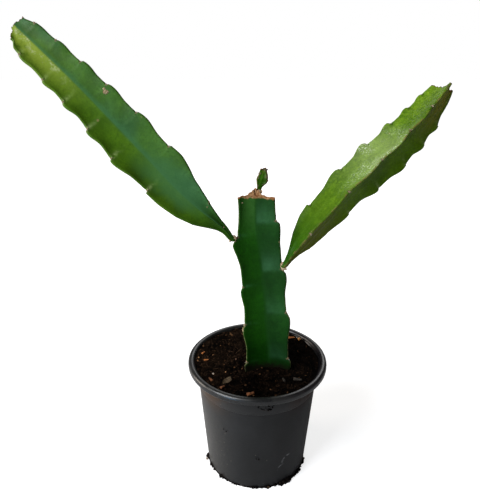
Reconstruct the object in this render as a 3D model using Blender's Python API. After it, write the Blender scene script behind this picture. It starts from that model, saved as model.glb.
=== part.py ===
"""A young dragon fruit cactus (pitahaya) in a nursery pot.

A rooted cutting with a cut and callused top carries two long winged side
stems and one new shoot. Every stem has three thin wings whose edges step
in at each areole. Units are metres, +Z is up, and the origin is the
middle of the pot's underside, where it stands.
"""

import math
import random

import bmesh
import bpy
from mathutils import Matrix, Vector

# ---------------------------------------------------------------- pot
RIM_RADIUS = 0.065
POT_HEIGHT = 0.113
BASE_RADIUS = 0.0484
SHOULDER_RADIUS = 0.0568          # outside of the wall just under the lip
WALL = 0.0014
FLOOR = 0.0020                    # thickness of the pot's floor
FOOT_RISE = 0.0015                # the drained ring stands this far off the ground
FOOT_RING = 0.0050                # width of the standing ring
CENTRE_PAD_RADIUS = 0.0140
LIP_DROP = 0.0060                 # height of the lip's outer skirt
LIP_THROAT = 0.0590               # radius of the mouth inside the lip
MOUTH = (                         # height and inside radius, flaring up to the throat
    (0.1040, 0.0552), (0.1062, 0.0564), (0.1090, 0.0582), (0.1100, LIP_THROAT),
)
STEP_DEPTH = 0.0006               # faint ledge round the wall below the lip
STEP_BELOW_RIM = 0.0235
DRAIN_COUNT = 8
DRAIN_RADIUS = 0.0042
DRAIN_CIRCLE = 0.0300
POT_SEGMENTS = 60

# --------------------------------------------------------------- soil
GAP = 0.0003                      # clearance kept between touching pieces
SOIL_LEVEL = 0.1082
HEAP_HEIGHT = 0.0026              # rise of the surface towards the back left
SOIL_DIP = (0.0080, -0.0140)      # sunk patch in front of the cutting
DIP_DEPTH = 0.0048
DIP_WIDTH = 0.0212
SOIL_CLEARANCE = 0.0005           # to the pot's faceted wall
SOIL_SEGMENTS = 48
SOIL_RINGS = 7

# -------------------------------------------------------------- stems
MARGIN = 0.0013                   # half thickness of a wing's edge
STATION_STEP = 0.0045             # spacing of the sections along a side stem
MAIN_STEP = 0.0035
FLANK_STEPS = (0.30, 0.66)        # where a flank is sampled, valley 0 to edge 1
FLANK_CURVE = 2.1                 # how hollow the wings' flanks are
FACING = Vector((0, -1, 0))       # wing angles are measured from this side
NECK_RADIUS = 0.0024              # the narrow foot of a side stem
LEFT_JOINT = 0.1788               # distance up the cutting, where the left side stem grew
RIGHT_JOINT = 0.1508
FOOT_DOME = 0.0040                # bulge of the cutting's buried end


def clear_scene():
    for old in list(bpy.data.objects):
        bpy.data.objects.remove(old, do_unlink=True)


def material(name, colour, roughness, metallic=0.0):
    made = bpy.data.materials.new(name)
    made.use_nodes = True
    shader = made.node_tree.nodes["Principled BSDF"]
    shader.inputs["Base Color"].default_value = (*colour, 1.0)
    shader.inputs["Roughness"].default_value = roughness
    shader.inputs["Metallic"].default_value = metallic
    return made


def add_object(name, mesh_maker, finish, smooth_angle=35.0):
    """Turns a bmesh into one named, smooth-shaded object."""
    bmesh.ops.recalc_face_normals(mesh_maker, faces=mesh_maker.faces)
    mesh = bpy.data.meshes.new(name)
    mesh_maker.to_mesh(mesh)
    mesh_maker.free()
    mesh.materials.append(finish)
    mesh.shade_smooth()
    mesh.set_sharp_from_angle(angle=math.radians(smooth_angle))
    made = bpy.data.objects.new(name, mesh)
    bpy.context.scene.collection.objects.link(made)
    return made


def cut(target, cutter):
    """Subtracts a hidden cutter with a live Boolean."""
    cutter.hide_render = True
    cutter.display_type = "WIRE"
    modifier = target.modifiers.new("cut_" + cutter.name, "BOOLEAN")
    modifier.operation = "DIFFERENCE"
    modifier.object = cutter


def smoothstep(value):
    value = min(1.0, max(0.0, value))
    return value * value * (3 - 2 * value)


def between(pairs, distance):
    """A value read off a line drawn through (distance, value) pairs."""
    if distance <= pairs[0][0]:
        return pairs[0][1]
    for (d0, v0), (d1, v1) in zip(pairs, pairs[1:]):
        if distance <= d1:
            return v0 + (v1 - v0) * (distance - d0) / (d1 - d0)
    return pairs[-1][1]


# ================================================================ pot
def wall_radius(height):
    """Outside radius of the tapered wall."""
    top = POT_HEIGHT - LIP_DROP
    return BASE_RADIUS + (SHOULDER_RADIUS - BASE_RADIUS) * min(1.0, height / top)


def inner_radius(height):
    """Inside radius: the tapered wall, then the flaring mouth."""
    if height <= MOUTH[0][0]:
        share = height / MOUTH[0][0]
        return (BASE_RADIUS - WALL) * (1 - share) + MOUTH[0][1] * share
    return between(MOUTH, height)


def arc(centre, radius, start, end, steps):
    """Points on a circular arc in the profile plane, angles in degrees."""
    turn = [math.radians(start + (end - start) * i / steps) for i in range(steps + 1)]
    return [(centre[0] + radius * math.cos(a), centre[1] + radius * math.sin(a)) for a in turn]


def pot_profile():
    """Radius and height, from the middle of the floor outside to the middle inside."""
    floor_top = FOOT_RISE + FLOOR
    under_lip = POT_HEIGHT - LIP_DROP
    step_height = POT_HEIGHT - STEP_BELOW_RIM
    lip_radius = (RIM_RADIUS - LIP_THROAT) / 2
    lip_centre = ((RIM_RADIUS + LIP_THROAT) / 2, POT_HEIGHT - lip_radius)
    points = [(0, 0), (CENTRE_PAD_RADIUS, 0), (CENTRE_PAD_RADIUS + FOOT_RISE, FOOT_RISE)]
    points += [(BASE_RADIUS - FOOT_RING, FOOT_RISE), (BASE_RADIUS - FOOT_RING + FOOT_RISE, 0)]
    points += arc((BASE_RADIUS - 0.001, 0.001), 0.001, -90, 0, 2)
    points += [(wall_radius(step_height), step_height)]
    points += [(wall_radius(step_height + 0.001) + STEP_DEPTH, step_height + 0.001)]
    points += [(SHOULDER_RADIUS + 2 * STEP_DEPTH, under_lip), (RIM_RADIUS - 0.0015, under_lip)]
    points += arc((RIM_RADIUS - 0.0012, under_lip + 0.0012), 0.0012, -70, 0, 2)
    points += arc(lip_centre, lip_radius, 0, 180, 6)
    points += [(radius, height) for height, radius in MOUTH[-2::-1]]
    points += [(inner_radius(floor_top), floor_top), (0, floor_top)]
    return points


def make_pot(finish):
    shape = bmesh.new()
    verts = [shape.verts.new((r, 0, z)) for r, z in pot_profile()]
    edges = [shape.edges.new(pair) for pair in zip(verts, verts[1:])]
    bmesh.ops.spin(
        shape, geom=verts + edges, cent=(0, 0, 0), axis=(0, 0, 1),
        angle=math.tau, steps=POT_SEGMENTS, use_duplicate=False,
    )
    bmesh.ops.remove_doubles(shape, verts=shape.verts, dist=1e-6)
    pot = add_object("pot", shape, finish)
    for index in range(DRAIN_COUNT):
        angle = math.tau * (index + 0.5) / DRAIN_COUNT
        drill = bmesh.new()
        bmesh.ops.create_cone(
            drill, cap_ends=True, segments=14, radius1=DRAIN_RADIUS,
            radius2=DRAIN_RADIUS, depth=4 * (FLOOR + FOOT_RISE),
        )
        hole = add_object(f"drain_drill_{index + 1}", drill, finish)
        hole.location = (DRAIN_CIRCLE * math.cos(angle), DRAIN_CIRCLE * math.sin(angle), 0)
        cut(pot, hole)
    return pot


# =============================================================== soil
def soil_height(x, y):
    """Top of the potting mix: heaped to the back left, sunk in front of the stem."""
    heap = HEAP_HEIGHT * smoothstep(0.5 + (-0.55 * x + 0.83 * y) / 0.10)
    lumps = 0.0005 * math.sin(151 * x + 40 * y + 0.6) * math.cos(118 * y - 35 * x)
    from_dip = math.hypot(x - SOIL_DIP[0], y - SOIL_DIP[1])
    return SOIL_LEVEL + heap + lumps - DIP_DEPTH * math.exp(-((from_dip / DIP_WIDTH) ** 2))


def soil_ring(shape, share, height=None):
    """One ring of the soil's surface, or of its side at a fixed height."""
    ring = []
    for step in range(SOIL_SEGMENTS):
        angle = math.tau * step / SOIL_SEGMENTS
        across, away = math.cos(angle), math.sin(angle)
        brim = soil_height(across * MOUTH[1][1], away * MOUTH[1][1]) if height is None else height
        radius = share * (inner_radius(brim) - SOIL_CLEARANCE)
        place = (radius * across, radius * away)
        ring.append(shape.verts.new((*place, soil_height(*place) if height is None else height)))
    return ring


def make_soil(finish):
    shape = bmesh.new()
    rings = [soil_ring(shape, index / SOIL_RINGS) for index in range(1, SOIL_RINGS + 1)]
    bottom = FOOT_RISE + FLOOR + GAP
    rings += [soil_ring(shape, 1, height) for height in (MOUTH[1][0], MOUTH[0][0], bottom)]
    for inner, outer in zip(rings, rings[1:]):
        for step in range(SOIL_SEGMENTS):
            after = (step + 1) % SOIL_SEGMENTS
            shape.faces.new((inner[step], outer[step], outer[after], inner[after]))
    middle = shape.verts.new((0, 0, soil_height(0, 0)))
    for step in range(SOIL_SEGMENTS):
        shape.faces.new((middle, rings[0][step], rings[0][(step + 1) % SOIL_SEGMENTS]))
    shape.faces.new(rings[-1])
    return add_object("potting_soil", shape, finish)


# ============================================================== stems
def curve_through(points, spacing):
    """Even steps along a smooth curve through the given points."""
    knots = [Vector(p) for p in points]
    knots = [2 * knots[0] - knots[1]] + knots + [2 * knots[-1] - knots[-2]]
    fine = []
    for a, b, c, d in zip(knots, knots[1:], knots[2:], knots[3:]):
        for i in range(24):
            t = i / 24
            fine.append(
                0.5 * (2 * b + (c - a) * t + (2 * a - 5 * b + 4 * c - d) * t * t
                       + (3 * b - a - 3 * c + d) * t ** 3)
            )
    fine.append(knots[-2])
    travelled = [0.0]
    for a, b in zip(fine, fine[1:]):
        travelled.append(travelled[-1] + (b - a).length)
    count = max(4, round(travelled[-1] / spacing))
    even, index = [], 0
    for step in range(count + 1):
        target = travelled[-1] * step / count
        while index < len(fine) - 2 and travelled[index + 1] < target:
            index += 1
        share = (target - travelled[index]) / (travelled[index + 1] - travelled[index])
        even.append((target, fine[index].lerp(fine[index + 1], share)))
    return even


def notch(areoles, distance, crest, drop):
    """How far a wing's edge steps in, 0 at a crest to 1 just past an areole.

    Between two areoles the edge runs low, swells to its crest at the given
    share of the way, then falls by drop of its depth before the next one."""
    for start, end in zip(areoles, areoles[1:]):
        if start <= distance < end:
            share = (distance - start) / (end - start)
            rise = smoothstep((share - crest + 0.46) / 0.46)
            fall = drop * smoothstep((share - crest - 0.04) / (0.96 - crest))
            return 1 - rise + fall
    return 0.0


class Wing:
    """One wing: its angle from the facing side in degrees, how far its crests
    reach along the stem, and where its areoles sit, measured from the base."""

    def __init__(self, angle, reach, areoles, step_in, crest=0.72, drop=0.5):
        self.angle, self.reach, self.areoles = angle, reach, areoles
        self.step_in, self.crest, self.drop = step_in, crest, drop

    def edge(self, distance):
        reach = between(self.reach, distance)
        room = smoothstep((reach - 0.010) / 0.012)
        return reach - self.step_in * room * notch(self.areoles, distance, self.crest, self.drop)


class Stem:
    """A three-winged stem along a curve, with a core radius and a slow twist."""

    def __init__(self, name, route, wings, core, twist=((0, 0),), step=STATION_STEP, leaves=None):
        self.name, self.wings, self.core, self.twist = name, wings, core, twist
        self.stations = curve_through(route, step)
        self.leaves = leaves          # direction of the foot, square to what it grew from

    def frame(self, index):
        """Place, across and outward directions of one section."""
        distance, place = self.stations[index]
        before = self.stations[max(0, index - 1)][1]
        after = self.stations[min(len(self.stations) - 1, index + 1)][1]
        along = (after - before).normalized()
        if index == 0 and self.leaves:
            along = self.leaves
        front = (FACING - along * FACING.dot(along)).normalized()
        return distance, place, front, along.cross(front)

    def section(self, index, grow=0.0):
        """Points round one section, wing by wing."""
        distance, place, front, side = self.frame(index)
        twist = between(self.twist, distance)
        core = between(self.core, distance) + grow
        margin = MARGIN + grow
        ring = []
        for number, wing in enumerate(self.wings):
            here = math.radians(wing.angle + twist)
            following = self.wings[(number + 1) % len(self.wings)]
            half = math.radians((following.angle - wing.angle) % 360) / 2
            previous = self.wings[number - 1]
            half_back = math.radians((wing.angle - previous.angle) % 360) / 2
            reach = max(wing.edge(distance) + grow, core + 0.4 * margin)
            half_edge = min(margin, 0.72 * core)
            outline = []
            for turn, valley in ((-half_back, False), (half, True)):
                foot_x = core * math.cos(turn)
                foot_y = core * abs(math.sin(turn))
                flank = []
                for share in FLANK_STEPS:
                    x = foot_x + (reach - half_edge - foot_x) * share
                    y = half_edge + (foot_y - half_edge) * (1 - share) ** FLANK_CURVE
                    flank.append((x, math.copysign(y, turn)))
                flank.append((reach - 0.6 * half_edge, math.copysign(half_edge * 0.85, turn)))
                outline.append(flank)
            points = outline[0] + [(reach, 0.0)] + outline[1][::-1]
            points.append((core * math.cos(half), core * math.sin(half)))
            for x, y in points:
                outward = x * math.cos(here) - y * math.sin(here)
                across = x * math.sin(here) + y * math.cos(here)
                ring.append(place + front * outward + side * across)
        return ring

    def edge_point(self, number, distance, room):
        """A point just clear of one wing's edge for room either way, and the way it faces."""
        index = min(range(len(self.stations)), key=lambda i: abs(self.stations[i][0] - distance))
        _, place, front, side = self.frame(index)
        angle = math.radians(self.wings[number].angle + between(self.twist, distance))
        outward = front * math.cos(angle) + side * math.sin(angle)
        drawn = [(at, self.wings[number].edge(at)) for at, _ in self.stations]
        reach = max(between(drawn, distance + share * room) for share in (-1, -0.5, 0, 0.5, 1))
        return place + outward * reach, outward

    def build(self, finish, name=None, grow=0.0, first=0, last=None, dome=(0.0, 0.0)):
        """A closed solid of the sections first to last; dome bulges the two end caps."""
        last = len(self.stations) - 1 if last is None else last
        shape = bmesh.new()
        rings = [
            [shape.verts.new(p) for p in self.section(index, grow)]
            for index in range(first, last + 1)
        ]
        size = len(rings[0])
        for lower, upper in zip(rings, rings[1:]):
            for step in range(size):
                after = (step + 1) % size
                shape.faces.new((lower[step], lower[after], upper[after], upper[step]))
        ends = ((rings[0], first, -1, dome[0]), (rings[-1], last, 1, dome[1]))
        for ring, index, sense, bulge in ends:
            _, place, front, side = self.frame(index)
            along = front.cross(side)
            cap = shape.verts.new(place + along * (sense * (bulge + grow)))
            for step in range(size):
                shape.faces.new((cap, ring[step], ring[(step + 1) % size]))
        return add_object(name or self.name, shape, finish, 50.0)


def spaced(start, gaps):
    """Areoles from the gaps between them."""
    places = [start]
    for gap in gaps:
        places.append(places[-1] + gap)
    return places


# The rooted cutting: its lower 46 mm stand in the soil, its top is cut flat.
MAIN_ROUTE = (
    (0.0112, -0.0015, 0.0600), (0.0110, -0.0020, 0.1060), (0.0088, -0.0025, 0.1450),
    (0.0052, -0.0020, 0.1880), (0.0008, -0.0020, 0.2220), (-0.0030, -0.0020, 0.2480),
    (-0.0036, -0.0020, 0.2702),
)
MAIN_REACH_LEFT = (
    (0, 0.0225), (0.055, 0.0250), (0.095, 0.0240), (0.125, 0.0225), (0.150, 0.0205),
    (0.163, 0.0218), (0.172, 0.0246), (0.177, 0.0228), (0.180, 0.0216), (0.190, 0.0188),
    (0.210, 0.0173),
)
MAIN_REACH_RIGHT = (
    (0, 0.0215), (0.055, 0.0245), (0.105, 0.0255), (0.150, 0.0240), (0.190, 0.0235), (0.210, 0.0215),
)
MAIN_REACH_BACK = ((0, 0.0200), (0.060, 0.0235), (0.150, 0.0225), (0.210, 0.0190))
MAIN_CORE = ((0, 0.0070), (0.050, 0.0080), (0.210, 0.0072))
MAIN_TWIST = ((0, -9), (0.120, -8), (0.210, -3))

# The left side stem, rising away from the cutting's left wing.
LEFT_ROUTE_REST = (
    (-0.0315, -0.0128, 0.2465), (-0.0489, -0.0110, 0.2603), (-0.0667, -0.0091, 0.2766),
    (-0.0872, -0.0066, 0.2984), (-0.1115, -0.0035, 0.3248), (-0.1353, -0.0004, 0.3501),
    (-0.1530, 0.0019, 0.3680), (-0.1737, 0.0046, 0.3881), (-0.1825, 0.0057, 0.3966),
)
LEFT_LOWER_REACH = (
    (0, NECK_RADIUS), (0.010, 0.0030), (0.018, 0.0054), (0.0255, 0.0090), (0.036, 0.0147),
    (0.050, 0.0192), (0.066, 0.0219), (0.080, 0.0226), (0.100, 0.0260), (0.118, 0.0256),
    (0.150, 0.0224), (0.182, 0.0202), (0.207, 0.0182), (0.222, 0.0160), (0.230, 0.0115),
)
LEFT_UPPER_REACH = (
    (0, NECK_RADIUS), (0.010, 0.0030), (0.020, 0.0050), (0.036, 0.0110), (0.052, 0.0186),
    (0.066, 0.0224), (0.080, 0.0246), (0.118, 0.0242), (0.150, 0.0216), (0.182, 0.0190),
    (0.207, 0.0162), (0.222, 0.0144), (0.230, 0.0100),
)
LEFT_BACK_REACH = (
    (0, NECK_RADIUS), (0.010, 0.0032), (0.020, 0.0060), (0.040, 0.0160), (0.066, 0.0222),
    (0.100, 0.0236), (0.150, 0.0215), (0.207, 0.0175), (0.222, 0.0150), (0.230, 0.0105),
)
LEFT_CORE = (
    (0, 0.0020), (0.010, 0.0028), (0.030, 0.0060), (0.060, 0.0078), (0.190, 0.0072), (0.234, 0.0050),
)
LEFT_TWIST = ((0, 14), (0.120, 15), (0.234, 17))

# The right side stem, from the right wing; one wing faces the front.
RIGHT_ROUTE_REST = (
    (0.0301, -0.0092, 0.2242), (0.0409, -0.0061, 0.2392), (0.0502, -0.0035, 0.2507),
    (0.0717, 0.0020, 0.2740), (0.0963, 0.0078, 0.2961), (0.1141, 0.0120, 0.3121),
    (0.1312, 0.0164, 0.3294), (0.1453, 0.0204, 0.3458), (0.1515, 0.0222, 0.3535),
)
RIGHT_LOWER_REACH = (
    (0, NECK_RADIUS), (0.010, 0.0036), (0.018, 0.0066), (0.030, 0.0138), (0.045, 0.0200),
    (0.066, 0.0216), (0.090, 0.0236), (0.120, 0.0250), (0.150, 0.0224), (0.175, 0.0178),
    (0.190, 0.0125), (0.2005, 0.0080),
)
RIGHT_UPPER_REACH = (
    (0, NECK_RADIUS), (0.010, 0.0030), (0.018, 0.0055), (0.030, 0.0110), (0.045, 0.0156),
    (0.066, 0.0184), (0.090, 0.0196), (0.120, 0.0220), (0.150, 0.0206), (0.175, 0.0172),
    (0.190, 0.0152), (0.2005, 0.0118),
)
RIGHT_FRONT_REACH = (
    (0, NECK_RADIUS), (0.010, 0.0032), (0.018, 0.0062), (0.030, 0.0125), (0.045, 0.0170),
    (0.090, 0.0205), (0.120, 0.0225), (0.150, 0.0215), (0.175, 0.0188), (0.2005, 0.0110),
)
RIGHT_CORE = (
    (0, 0.0020), (0.008, 0.0028), (0.028, 0.0058), (0.055, 0.0074), (0.170, 0.0072), (0.200, 0.0050),
)
RIGHT_TWIST = ((0, -7), (0.080, -9), (0.150, -22), (0.200, -24))

# The new shoot beside the cut.
SHOOT_BASE = Vector((-0.0002, 0.0115, 0.2714))
SHOOT_ROUTE = (
    (0, 0, 0), (0.0014, 0.0004, 0.0055), (0.0042, 0.0010, 0.0120), (0.0060, 0.0012, 0.0195),
)
SHOOT_REACH = ((0, 0.0020), (0.004, 0.0027), (0.010, 0.0060), (0.016, 0.0056), (0.0215, 0.0034))
SHOOT_CORE = ((0, 0.0017), (0.005, 0.0022), (0.012, 0.0036), (0.0215, 0.0026))
SHOOT_STEP = 0.0018


def side_route(stem, wing_number, distance, rest):
    """A side stem starts square to the wing's edge, one gap away from it."""
    foot, outward = stem.edge_point(wing_number, distance, NECK_RADIUS)
    route = (foot + outward * GAP, foot + outward * 0.0035 + Vector((0, 0, 0.0010)), *rest)
    return {"route": route, "leaves": outward}


def make_stems(green, shoot_green):
    main = Stem(
        "main_stem", MAIN_ROUTE,
        (
            Wing(-60, MAIN_REACH_LEFT, spaced(0.0150, (0.0395, 0.0405, 0.0375, 0.0455, 0.045)),
                 0.0034, 0.86, 0.9),
            Wing(60, MAIN_REACH_RIGHT, spaced(0.0145, (0.0445, 0.0445, 0.0440, 0.0440, 0.045)),
                 0.0042, 0.86, 0.9),
            Wing(180, MAIN_REACH_BACK, spaced(0.0020, (0.042, 0.046, 0.043, 0.044, 0.060)),
                 0.0034, 0.86, 0.9),
        ),
        MAIN_CORE, MAIN_TWIST, step=MAIN_STEP,
    )
    main.build(green, dome=(FOOT_DOME, -0.0012))

    left = Stem(
        "left_branch",
        wings=(
            Wing(-60, LEFT_LOWER_REACH, spaced(0.080, (0.0375, 0.0275, 0.026, 0.0215, 0.0245, 0.030)),
                 0.0036, 0.80, 0.6),
            Wing(60, LEFT_UPPER_REACH,
                 spaced(0.037, (0.0545, 0.036, 0.035, 0.0255, 0.022, 0.0175, 0.030)), 0.0038, 0.65, 0.5),
            Wing(180, LEFT_BACK_REACH, spaced(0.045, (0.045, 0.037, 0.032, 0.030, 0.025, 0.030)),
                 0.0034, 0.75, 0.6),
        ),
        core=LEFT_CORE, twist=LEFT_TWIST, **side_route(main, 0, LEFT_JOINT, LEFT_ROUTE_REST),
    )
    left.build(green, dome=(0.0004, 0.0018))

    right = Stem(
        "right_branch",
        wings=(
            Wing(0, RIGHT_FRONT_REACH, spaced(0.0359, (0.0474, 0.035, 0.032, 0.0253, 0.020, 0.030)),
                 0.0026, 0.80, 0.6),
            Wing(120, RIGHT_LOWER_REACH,
                 spaced(0.0266, (0.041, 0.0337, 0.0293, 0.0234, 0.0205, 0.0135, 0.030)),
                 0.0036, 0.80, 0.7),
            Wing(240, RIGHT_UPPER_REACH, spaced(0.0545, (0.0335, 0.0335, 0.0252, 0.0192, 0.0148, 0.030)),
                 0.0032, 0.85, 0.7),
        ),
        core=RIGHT_CORE, twist=RIGHT_TWIST, **side_route(main, 1, RIGHT_JOINT, RIGHT_ROUTE_REST),
    )
    right.build(green, dome=(0.0004, 0.0018))

    shoot = Stem(
        "new_shoot", [SHOOT_BASE + Vector(step) for step in SHOOT_ROUTE],
        tuple(
            Wing(angle, SHOOT_REACH, spaced(start, (0.006, 0.006, 0.006)), 0.0012)
            for angle, start in ((-70, 0.004), (50, 0.006), (170, 0.005))
        ),
        SHOOT_CORE, step=SHOOT_STEP,
    )
    shoot.build(shoot_green, dome=(0.0, 0.0008))
    return main


def make_socket(stem, soil, finish):
    """The hole in the soil that the cutting's foot fills."""
    above = SOIL_LEVEL + 4 * HEAP_HEIGHT
    top = max(i for i, (_, place) in enumerate(stem.stations) if place.z < above)
    hole = stem.build(finish, name="stem_socket", grow=GAP, last=top, dome=(FOOT_DOME + GAP, 0.0))
    cut(soil, hole)


# ====================================================== loose pieces
def rough_lump(name, size, seed, finish, detail=1):
    """A small irregular lump, centred on its own origin."""
    dice = random.Random(seed)
    shape = bmesh.new()
    bmesh.ops.create_icosphere(shape, subdivisions=detail, radius=0.5)
    for vert in shape.verts:
        vert.co *= 1 + dice.uniform(-0.16, 0.16)
        vert.co = Vector((vert.co.x * size[0], vert.co.y * size[1], vert.co.z * size[2]))
    return add_object(name, shape, finish, 30.0)


def splinter(name, size, seed, finish):
    """A split flake of bark or wood: a bevelled, tapered and slightly twisted block."""
    dice = random.Random(seed)
    shape = bmesh.new()
    bmesh.ops.create_cube(shape, size=1.0)
    for vert in shape.verts:
        taper = 1 - 0.35 * (vert.co.x > 0) - dice.uniform(0, 0.15)
        turn = Matrix.Rotation(0.5 * vert.co.x, 3, "X")
        vert.co = turn @ Vector((vert.co.x, vert.co.y * taper, vert.co.z * taper))
        vert.co = Vector((vert.co.x * size[0], vert.co.y * size[1], vert.co.z * size[2]))
    bmesh.ops.bevel(shape, geom=shape.edges[:], offset=0.16 * min(size), segments=1, affect="EDGES")
    return add_object(name, shape, finish, 30.0)


def rest_on_soil(piece, x, y, turn):
    """Sets a piece down so that it clears the highest soil under it."""
    piece.rotation_euler = (0, 0, math.radians(turn))
    half = max(piece.dimensions.x, piece.dimensions.y) / 2
    around = [soil_height(x + half * i / 3, y + half * j / 3) for i in range(-3, 4) for j in range(-3, 4)]
    low = min(corner[2] for corner in piece.bound_box)
    piece.location = (x, y, max(around) + 2 * GAP - low)


def make_dry_leaf(finish):
    """A curled fragment of dead leaf, thin and closed all round."""
    length, width, thickness = 0.0085, 0.0062, 0.0007
    rows, columns = 7, 5
    shape = bmesh.new()
    sides = []
    for lift in (0.0, thickness):
        grid = []
        for row in range(rows):
            along = row / (rows - 1)
            spread = width * math.sin(math.pi * (0.10 + 0.80 * along)) ** 0.7
            line = []
            for column in range(columns):
                across = column / (columns - 1) - 0.5
                curl = 0.0022 * (2 * across) ** 2 + 0.0016 * along * along
                line.append(shape.verts.new((length * (along - 0.5), spread * across, curl + lift)))
            grid.append(line)
        sides.append(grid)
    for grid in sides:
        for lower, upper in zip(grid, grid[1:]):
            for a, b, c, d in zip(lower, lower[1:], upper[1:], upper):
                shape.faces.new((a, b, c, d))
    bottom, top = (
        grid[0] + [row[-1] for row in grid[1:-1]] + grid[-1][::-1] + [row[0] for row in grid[-2:0:-1]]
        for grid in sides
    )
    for index in range(len(bottom)):
        after = (index + 1) % len(bottom)
        shape.faces.new((bottom[index], bottom[after], top[after], top[index]))
    leaf = add_object("dry_leaf", shape, finish)
    rest_on_soil(leaf, -0.0276, -0.0368, 28)


def make_loose_pieces(bark, pale, prill, dirt):
    barks = (
        (-0.0515, 0.0085, 0.0040, 0.0016, 0.0013, 55), (-0.0482, -0.0032, 0.0042, 0.0015, 0.0013, 8),
        (-0.0314, -0.0424, 0.0046, 0.0026, 0.0018, 40), (-0.0072, -0.0510, 0.0062, 0.0036, 0.0022, 24),
        (0.0357, 0.0375, 0.0068, 0.0022, 0.0017, 6), (-0.0425, -0.0325, 0.0050, 0.0020, 0.0016, 125),
        (0.0352, -0.0308, 0.0070, 0.0034, 0.0018, -12), (0.0225, -0.0295, 0.0052, 0.0024, 0.0016, 100),
    )
    for number, (x, y, length, width, height, turn) in enumerate(barks, 1):
        chip = splinter(f"bark_chip_{number}", (length, width, height), number, bark)
        rest_on_soil(chip, x, y, turn)

    grains = (
        (-0.0404, -0.0242, 0.0017), (-0.0293, -0.0212, 0.0014), (-0.0202, -0.0004, 0.0015),
        (-0.0555, 0.0002, 0.0016), (0.0418, 0.0378, 0.0018),
    )
    for number, (x, y, size) in enumerate(grains, 1):
        grain = rough_lump(f"pale_grain_{number}", (size, size * 0.9, size * 0.8), 40 + number, pale)
        rest_on_soil(grain, x, y, 0)

    bead = rough_lump("slow_feed_prill", (0.0032, 0.0030, 0.0029), 60, prill, detail=2)
    rest_on_soil(bead, 0.0435, 0.0340, 0)

    # Soil that washed out of the pot and dried against the foot of its wall.
    clods = (
        (-169, 0.0052, 0.0026, 0.0044), (-154, 0.0076, 0.0030, 0.0036), (-137, 0.0090, 0.0032, 0.0030),
        (-117, 0.0064, 0.0026, 0.0022), (-97, 0.0072, 0.0030, 0.0026), (-76, 0.0098, 0.0036, 0.0034),
        (-55, 0.0084, 0.0038, 0.0038), (-35, 0.0090, 0.0034, 0.0040), (-15, 0.0060, 0.0028, 0.0046),
        (36, 0.0070, 0.0030, 0.0028), (112, 0.0080, 0.0030, 0.0026),
    )
    for number, (bearing, length, depth, height) in enumerate(clods, 1):
        clod = rough_lump(f"soil_clod_{number}", (depth, length, height), 80 + number, dirt, detail=2)
        lowest = min(vert.co.z for vert in clod.data.vertices)
        nearest = min(vert.co.x for vert in clod.data.vertices)
        angle = math.radians(bearing)
        clear = wall_radius(height) + 2 * GAP - nearest + length * length / (8 * BASE_RADIUS)
        clod.rotation_euler = (0, 0, angle)
        clod.location = (clear * math.cos(angle), clear * math.sin(angle), -lowest)


def build():
    clear_scene()
    plastic = material("black_plastic", (0.022, 0.023, 0.025), 0.42)
    mix = material("potting_mix", (0.020, 0.013, 0.009), 0.95)
    green = material("cactus_green", (0.045, 0.155, 0.020), 0.42)
    shoot_green = material("shoot_green", (0.050, 0.190, 0.015), 0.50)
    bark = material("bark_wood", (0.300, 0.120, 0.045), 0.85)
    pale = material("pale_grit", (0.520, 0.430, 0.320), 0.80)
    prill = material("feed_prill", (0.420, 0.190, 0.055), 0.45)
    dry = material("dry_leaf_tan", (0.230, 0.140, 0.070), 0.80)

    make_pot(plastic)
    soil = make_soil(mix)
    main = make_stems(green, shoot_green)
    make_socket(main, soil, mix)
    make_dry_leaf(dry)
    make_loose_pieces(bark, pale, prill, mix)


build()
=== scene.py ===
"""Looks of a young dragon fruit cactus (pitahaya) in its nursery pot.

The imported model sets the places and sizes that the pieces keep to. Each section
builds one piece of the plant or its pot in metres, +Z up, and hands it to the frame.
"""

import math
import random

import bmesh
import bpy
from mathutils import Matrix, Vector, noise


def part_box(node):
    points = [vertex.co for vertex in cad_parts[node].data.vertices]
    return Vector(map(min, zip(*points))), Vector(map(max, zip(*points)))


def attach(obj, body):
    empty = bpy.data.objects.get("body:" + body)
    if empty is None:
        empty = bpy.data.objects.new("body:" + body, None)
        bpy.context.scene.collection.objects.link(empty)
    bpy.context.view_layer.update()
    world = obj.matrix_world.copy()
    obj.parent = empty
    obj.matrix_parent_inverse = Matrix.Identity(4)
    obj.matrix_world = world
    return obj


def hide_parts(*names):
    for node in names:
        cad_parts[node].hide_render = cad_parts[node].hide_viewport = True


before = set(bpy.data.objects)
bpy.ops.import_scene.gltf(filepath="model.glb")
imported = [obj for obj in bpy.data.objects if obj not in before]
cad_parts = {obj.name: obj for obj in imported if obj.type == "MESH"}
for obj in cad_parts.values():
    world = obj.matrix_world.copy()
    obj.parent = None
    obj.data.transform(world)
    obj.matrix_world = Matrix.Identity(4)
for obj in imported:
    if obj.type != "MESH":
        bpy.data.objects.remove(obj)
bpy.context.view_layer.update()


# ------------------------------------------------------------------ nursery pot
# A thin-walled black polypropylene nursery pot, injection moulded in one shot:
# rolled lip, a faint ledge under it, a tapered wall, a drained floor on a foot ring.
# It is used and dusty. Painted warm reflections lie in rust-brown under the lip at its sides
# and with the dust on its left, and painted shade darkens its right side and dims its sheen there.
_, pot_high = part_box("pot")
RIM_RADIUS = pot_high.x
POT_HEIGHT = pot_high.z
BASE_RADIUS = 0.0484
SHOULDER_RADIUS = 0.0568
WALL = 0.0014
FLOOR = 0.0020
FOOT_RISE = 0.0015
FOOT_RING = 0.0050
CENTRE_PAD_RADIUS = 0.0140
LIP_DROP = 0.0060
LIP_THROAT = 0.0590
LEDGE_DEPTH = 0.0006
LEDGE_BELOW_RIM = 0.0235
LEDGE_RISE = 0.0010              # how high the wall climbs while it steps out at the ledge
FOOT_ROUND = 0.0016              # radii: the foot's outer edge, the lip's lower edge, its root
LIP_ROUND = 0.0012
LIP_ROOT = 0.0010
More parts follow.
